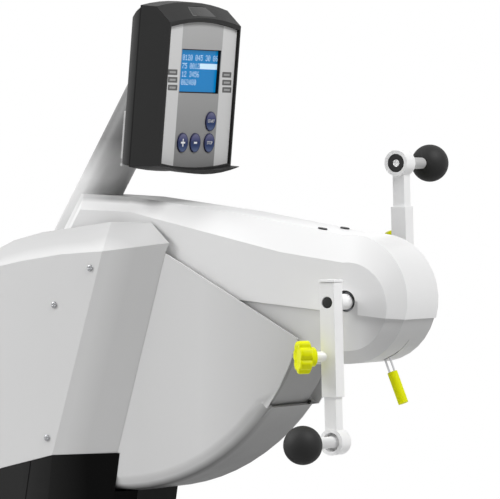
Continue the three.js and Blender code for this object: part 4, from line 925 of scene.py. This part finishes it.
def dot_row(text, top):
    """Corners of the lit dots of a row of figures, each 5 dots wide and 1 from the next."""
    corners = []
    for place, letter in enumerate(text):
        for line, row in enumerate(DOTS.get(letter, "00000").split()):
            for column, lit in enumerate(row):
                if lit == "1":
                    u0 = figures_left + (6 * place + column) * cell
                    v0 = top - (line + 1) * cell
                    corners += corners_of(u0, v0, u0 + dot_share * cell, v0 + dot_share * cell)
    return corners


def on_face_mesh(name, corners, faces, depth):
    return add_mesh(name, [on_face(u, v, depth) for u, v in corners], faces)


rows = (("0120 045 30 86", 0.1774), ("75 0012", 0.1640), ("12 3456", 0.1508), ("062480", 0.1380))
marked_bar = (0.0050, 0.1550, 0.0578, 0.1640)
corners = [corner for text, top in rows for corner in dot_row(text, top)]
corners += corners_of(*marked_bar)
squares = [tuple(range(first, first + 4)) for first in range(0, len(corners), 4)]
figures = on_face_mesh("display_figures", corners, squares, dot_depth)
register(figures, None, lcd_dots, "head")
print("squares on the display", len(squares))

# %% [markdown]
# The keys carry plain signs: a plus, a minus, and START and STOP in small capitals. Each
# sign is a thin print that lies a twentieth of a millimetre over its key and moves with it.

# %% Print the signs on the keys
sign_white = Finish("sign_white", grey(235), 0.5)
sign_grain = sign_white.noise(scale=700.0)
sign_white.set("Base Color", sign_white.blend(sign_grain, grey(226), grey(244)))
key_face = panel_depth + 0.00206
letter_size = 0.0070


def sign_mesh(name, key, corners, faces):
    sign = on_face_mesh(name, corners, faces, key_face)
    register(sign, None, sign_white, key)


def lettering(name, key, text, u, v):
    """Letters of the built-in font as a flat mesh, centred on a point of the face."""
    curve = bpy.data.curves.new(name, "FONT")
    curve.body = text
    curve.size = letter_size
    curve.align_x = "CENTER"
    curve.align_y = "CENTER"
    holder = add_object(name + "_curve", curve)
    mesh = holder.to_mesh()
    corners = [(u + p.co.x, v + p.co.y) for p in mesh.vertices]
    faces = [tuple(f.vertices) for f in mesh.polygons]
    holder.to_mesh_clear()
    bpy.data.objects.remove(holder)
    sign_mesh(name, key, corners, faces)


arm, stroke = 0.0062, 0.0014
minus_arm, minus_stroke = 0.0046, 0.0015
quarter = [(-stroke, -arm), (stroke, -arm), (stroke, -stroke)]
plus_outline = []
for _ in range(4):
    plus_outline += [(plus_u + x, low_row + y) for x, y in quarter]
    quarter = [(-y, x) for x, y in quarter]
minus_u0, minus_v0 = minus_u - minus_arm, low_row - minus_stroke
minus_outline = corners_of(minus_u0, minus_v0, minus_u + minus_arm, low_row + minus_stroke)
sign_mesh("plus_sign", "plus_button", plus_outline, [tuple(range(12))])
sign_mesh("minus_sign", "minus_button", minus_outline, [(0, 1, 2, 3)])
lettering("start_sign", "start_button", "START", word_u, high_row)
lettering("stop_sign", "stop_button", "STOP", word_u, low_row)

# %% [markdown]
# ## The console's pieces
# The housing is two dark grained mouldings, screwed to a bracket on the mast. Painted shade
# about three millimetres wide blackens the groove where they meet, and painted light lifts the
# rear one towards its back. The smoked sensor window in the brow has painted shade towards one
# side and a painted highlight as a thin pale rim. Its place `s` up the sloping brow is a mix of v
# and w.

# %% Finishes of the housing and the window
console_plastic = moulded(
    "console_plastic", grey(40), 0.5, grain=0.45, grain_scale=1100.0, spread=0.08)
console_plastic.set("Specular IOR Level", 0.14)
w = face_axes(console_plastic)[2]
groove_place, groove_half, groove_soft = -0.0575, 0.00168, 0.0004
rear_from, rear_length = -0.0583, 0.0185
# Painted shade: black in the groove where the two mouldings meet.
groove_painted_shade = ((groove_half - abs(w - groove_place)) / groove_soft).clipped()
front_tone = console_plastic.mottle(grey(36), grey(41))
# Painted light: the rear moulding lightens towards its back.
to_rear = ((rear_from - w) / rear_length).clipped()
rear_painted_light = console_plastic.blend(to_rear, grey(24), grey(70))
housing_tone = console_plastic.blend(w.below(rear_from), front_tone, rear_painted_light)
console_plastic.set("Base Color", console_plastic.blend(groove_painted_shade, housing_tone, grey(0)))

window_plastic = Finish("window_plastic", grey(60), 0.3)
window_plastic.set("Specular IOR Level", 0.2)
u, v, w = face_axes(window_plastic)
brow_depth, brow_height, face_top = 0.028, 0.0237, 0.237
brow_slope = float(np.hypot(brow_depth, brow_height))
s = (w * -brow_depth + (v - face_top) * brow_height) / brow_slope
window_low, window_high, low_half, high_half = 0.0045, 0.0265, 0.0355, 0.0270
half_at = low_half - (s - window_low) * ((low_half - high_half) / (window_high - window_low))
to_edge = (half_at - abs(u)).least(s - window_low).least(window_high - s)
# Painted shade darkens the window towards one side, and a painted highlight lies along a thin rim.
window_shade_from, window_shade_length = -0.030, 0.055
rim_width, rim_from, rim_side, rim_strength = 0.0016, 0.012, -0.024, 0.8
window_painted_shade = ((u - window_shade_from) / window_shade_length).clipped()
tone = window_plastic.blend(window_painted_shade, grey(8), grey(58))
painted_rim_highlight = to_edge.below(rim_width) * s.above(rim_from).most(u.below(rim_side))
window_plastic.set("Base Color", window_plastic.blend(painted_rim_highlight * rim_strength, tone, grey(96)))
window_plastic.wear(0.29, 0.05, window_plastic.noise(scale=60.0))
print("window", round(1000 * (window_high - window_low), 1), "mm up the brow")

# %% Dress the console and the lever
round_all(console_plastic, 0.0018, "console_front", "console_back", angle=25.0)
round_all(bracket_paint, 0.0006, "console_bracket")
round_all(window_plastic, 0.0006, "sensor_window")
round_all(foil, 0.0003, "face_panel")
round_all(lcd, 0.0003, "display")
round_all(key_gloss, 0.0008, "start_button", "stop_button", "plus_button", "minus_button")
round_all(bright_steel, 0.0004, "lever_rods")
round_all(grip_plastic, 0.002, "lever_grip")
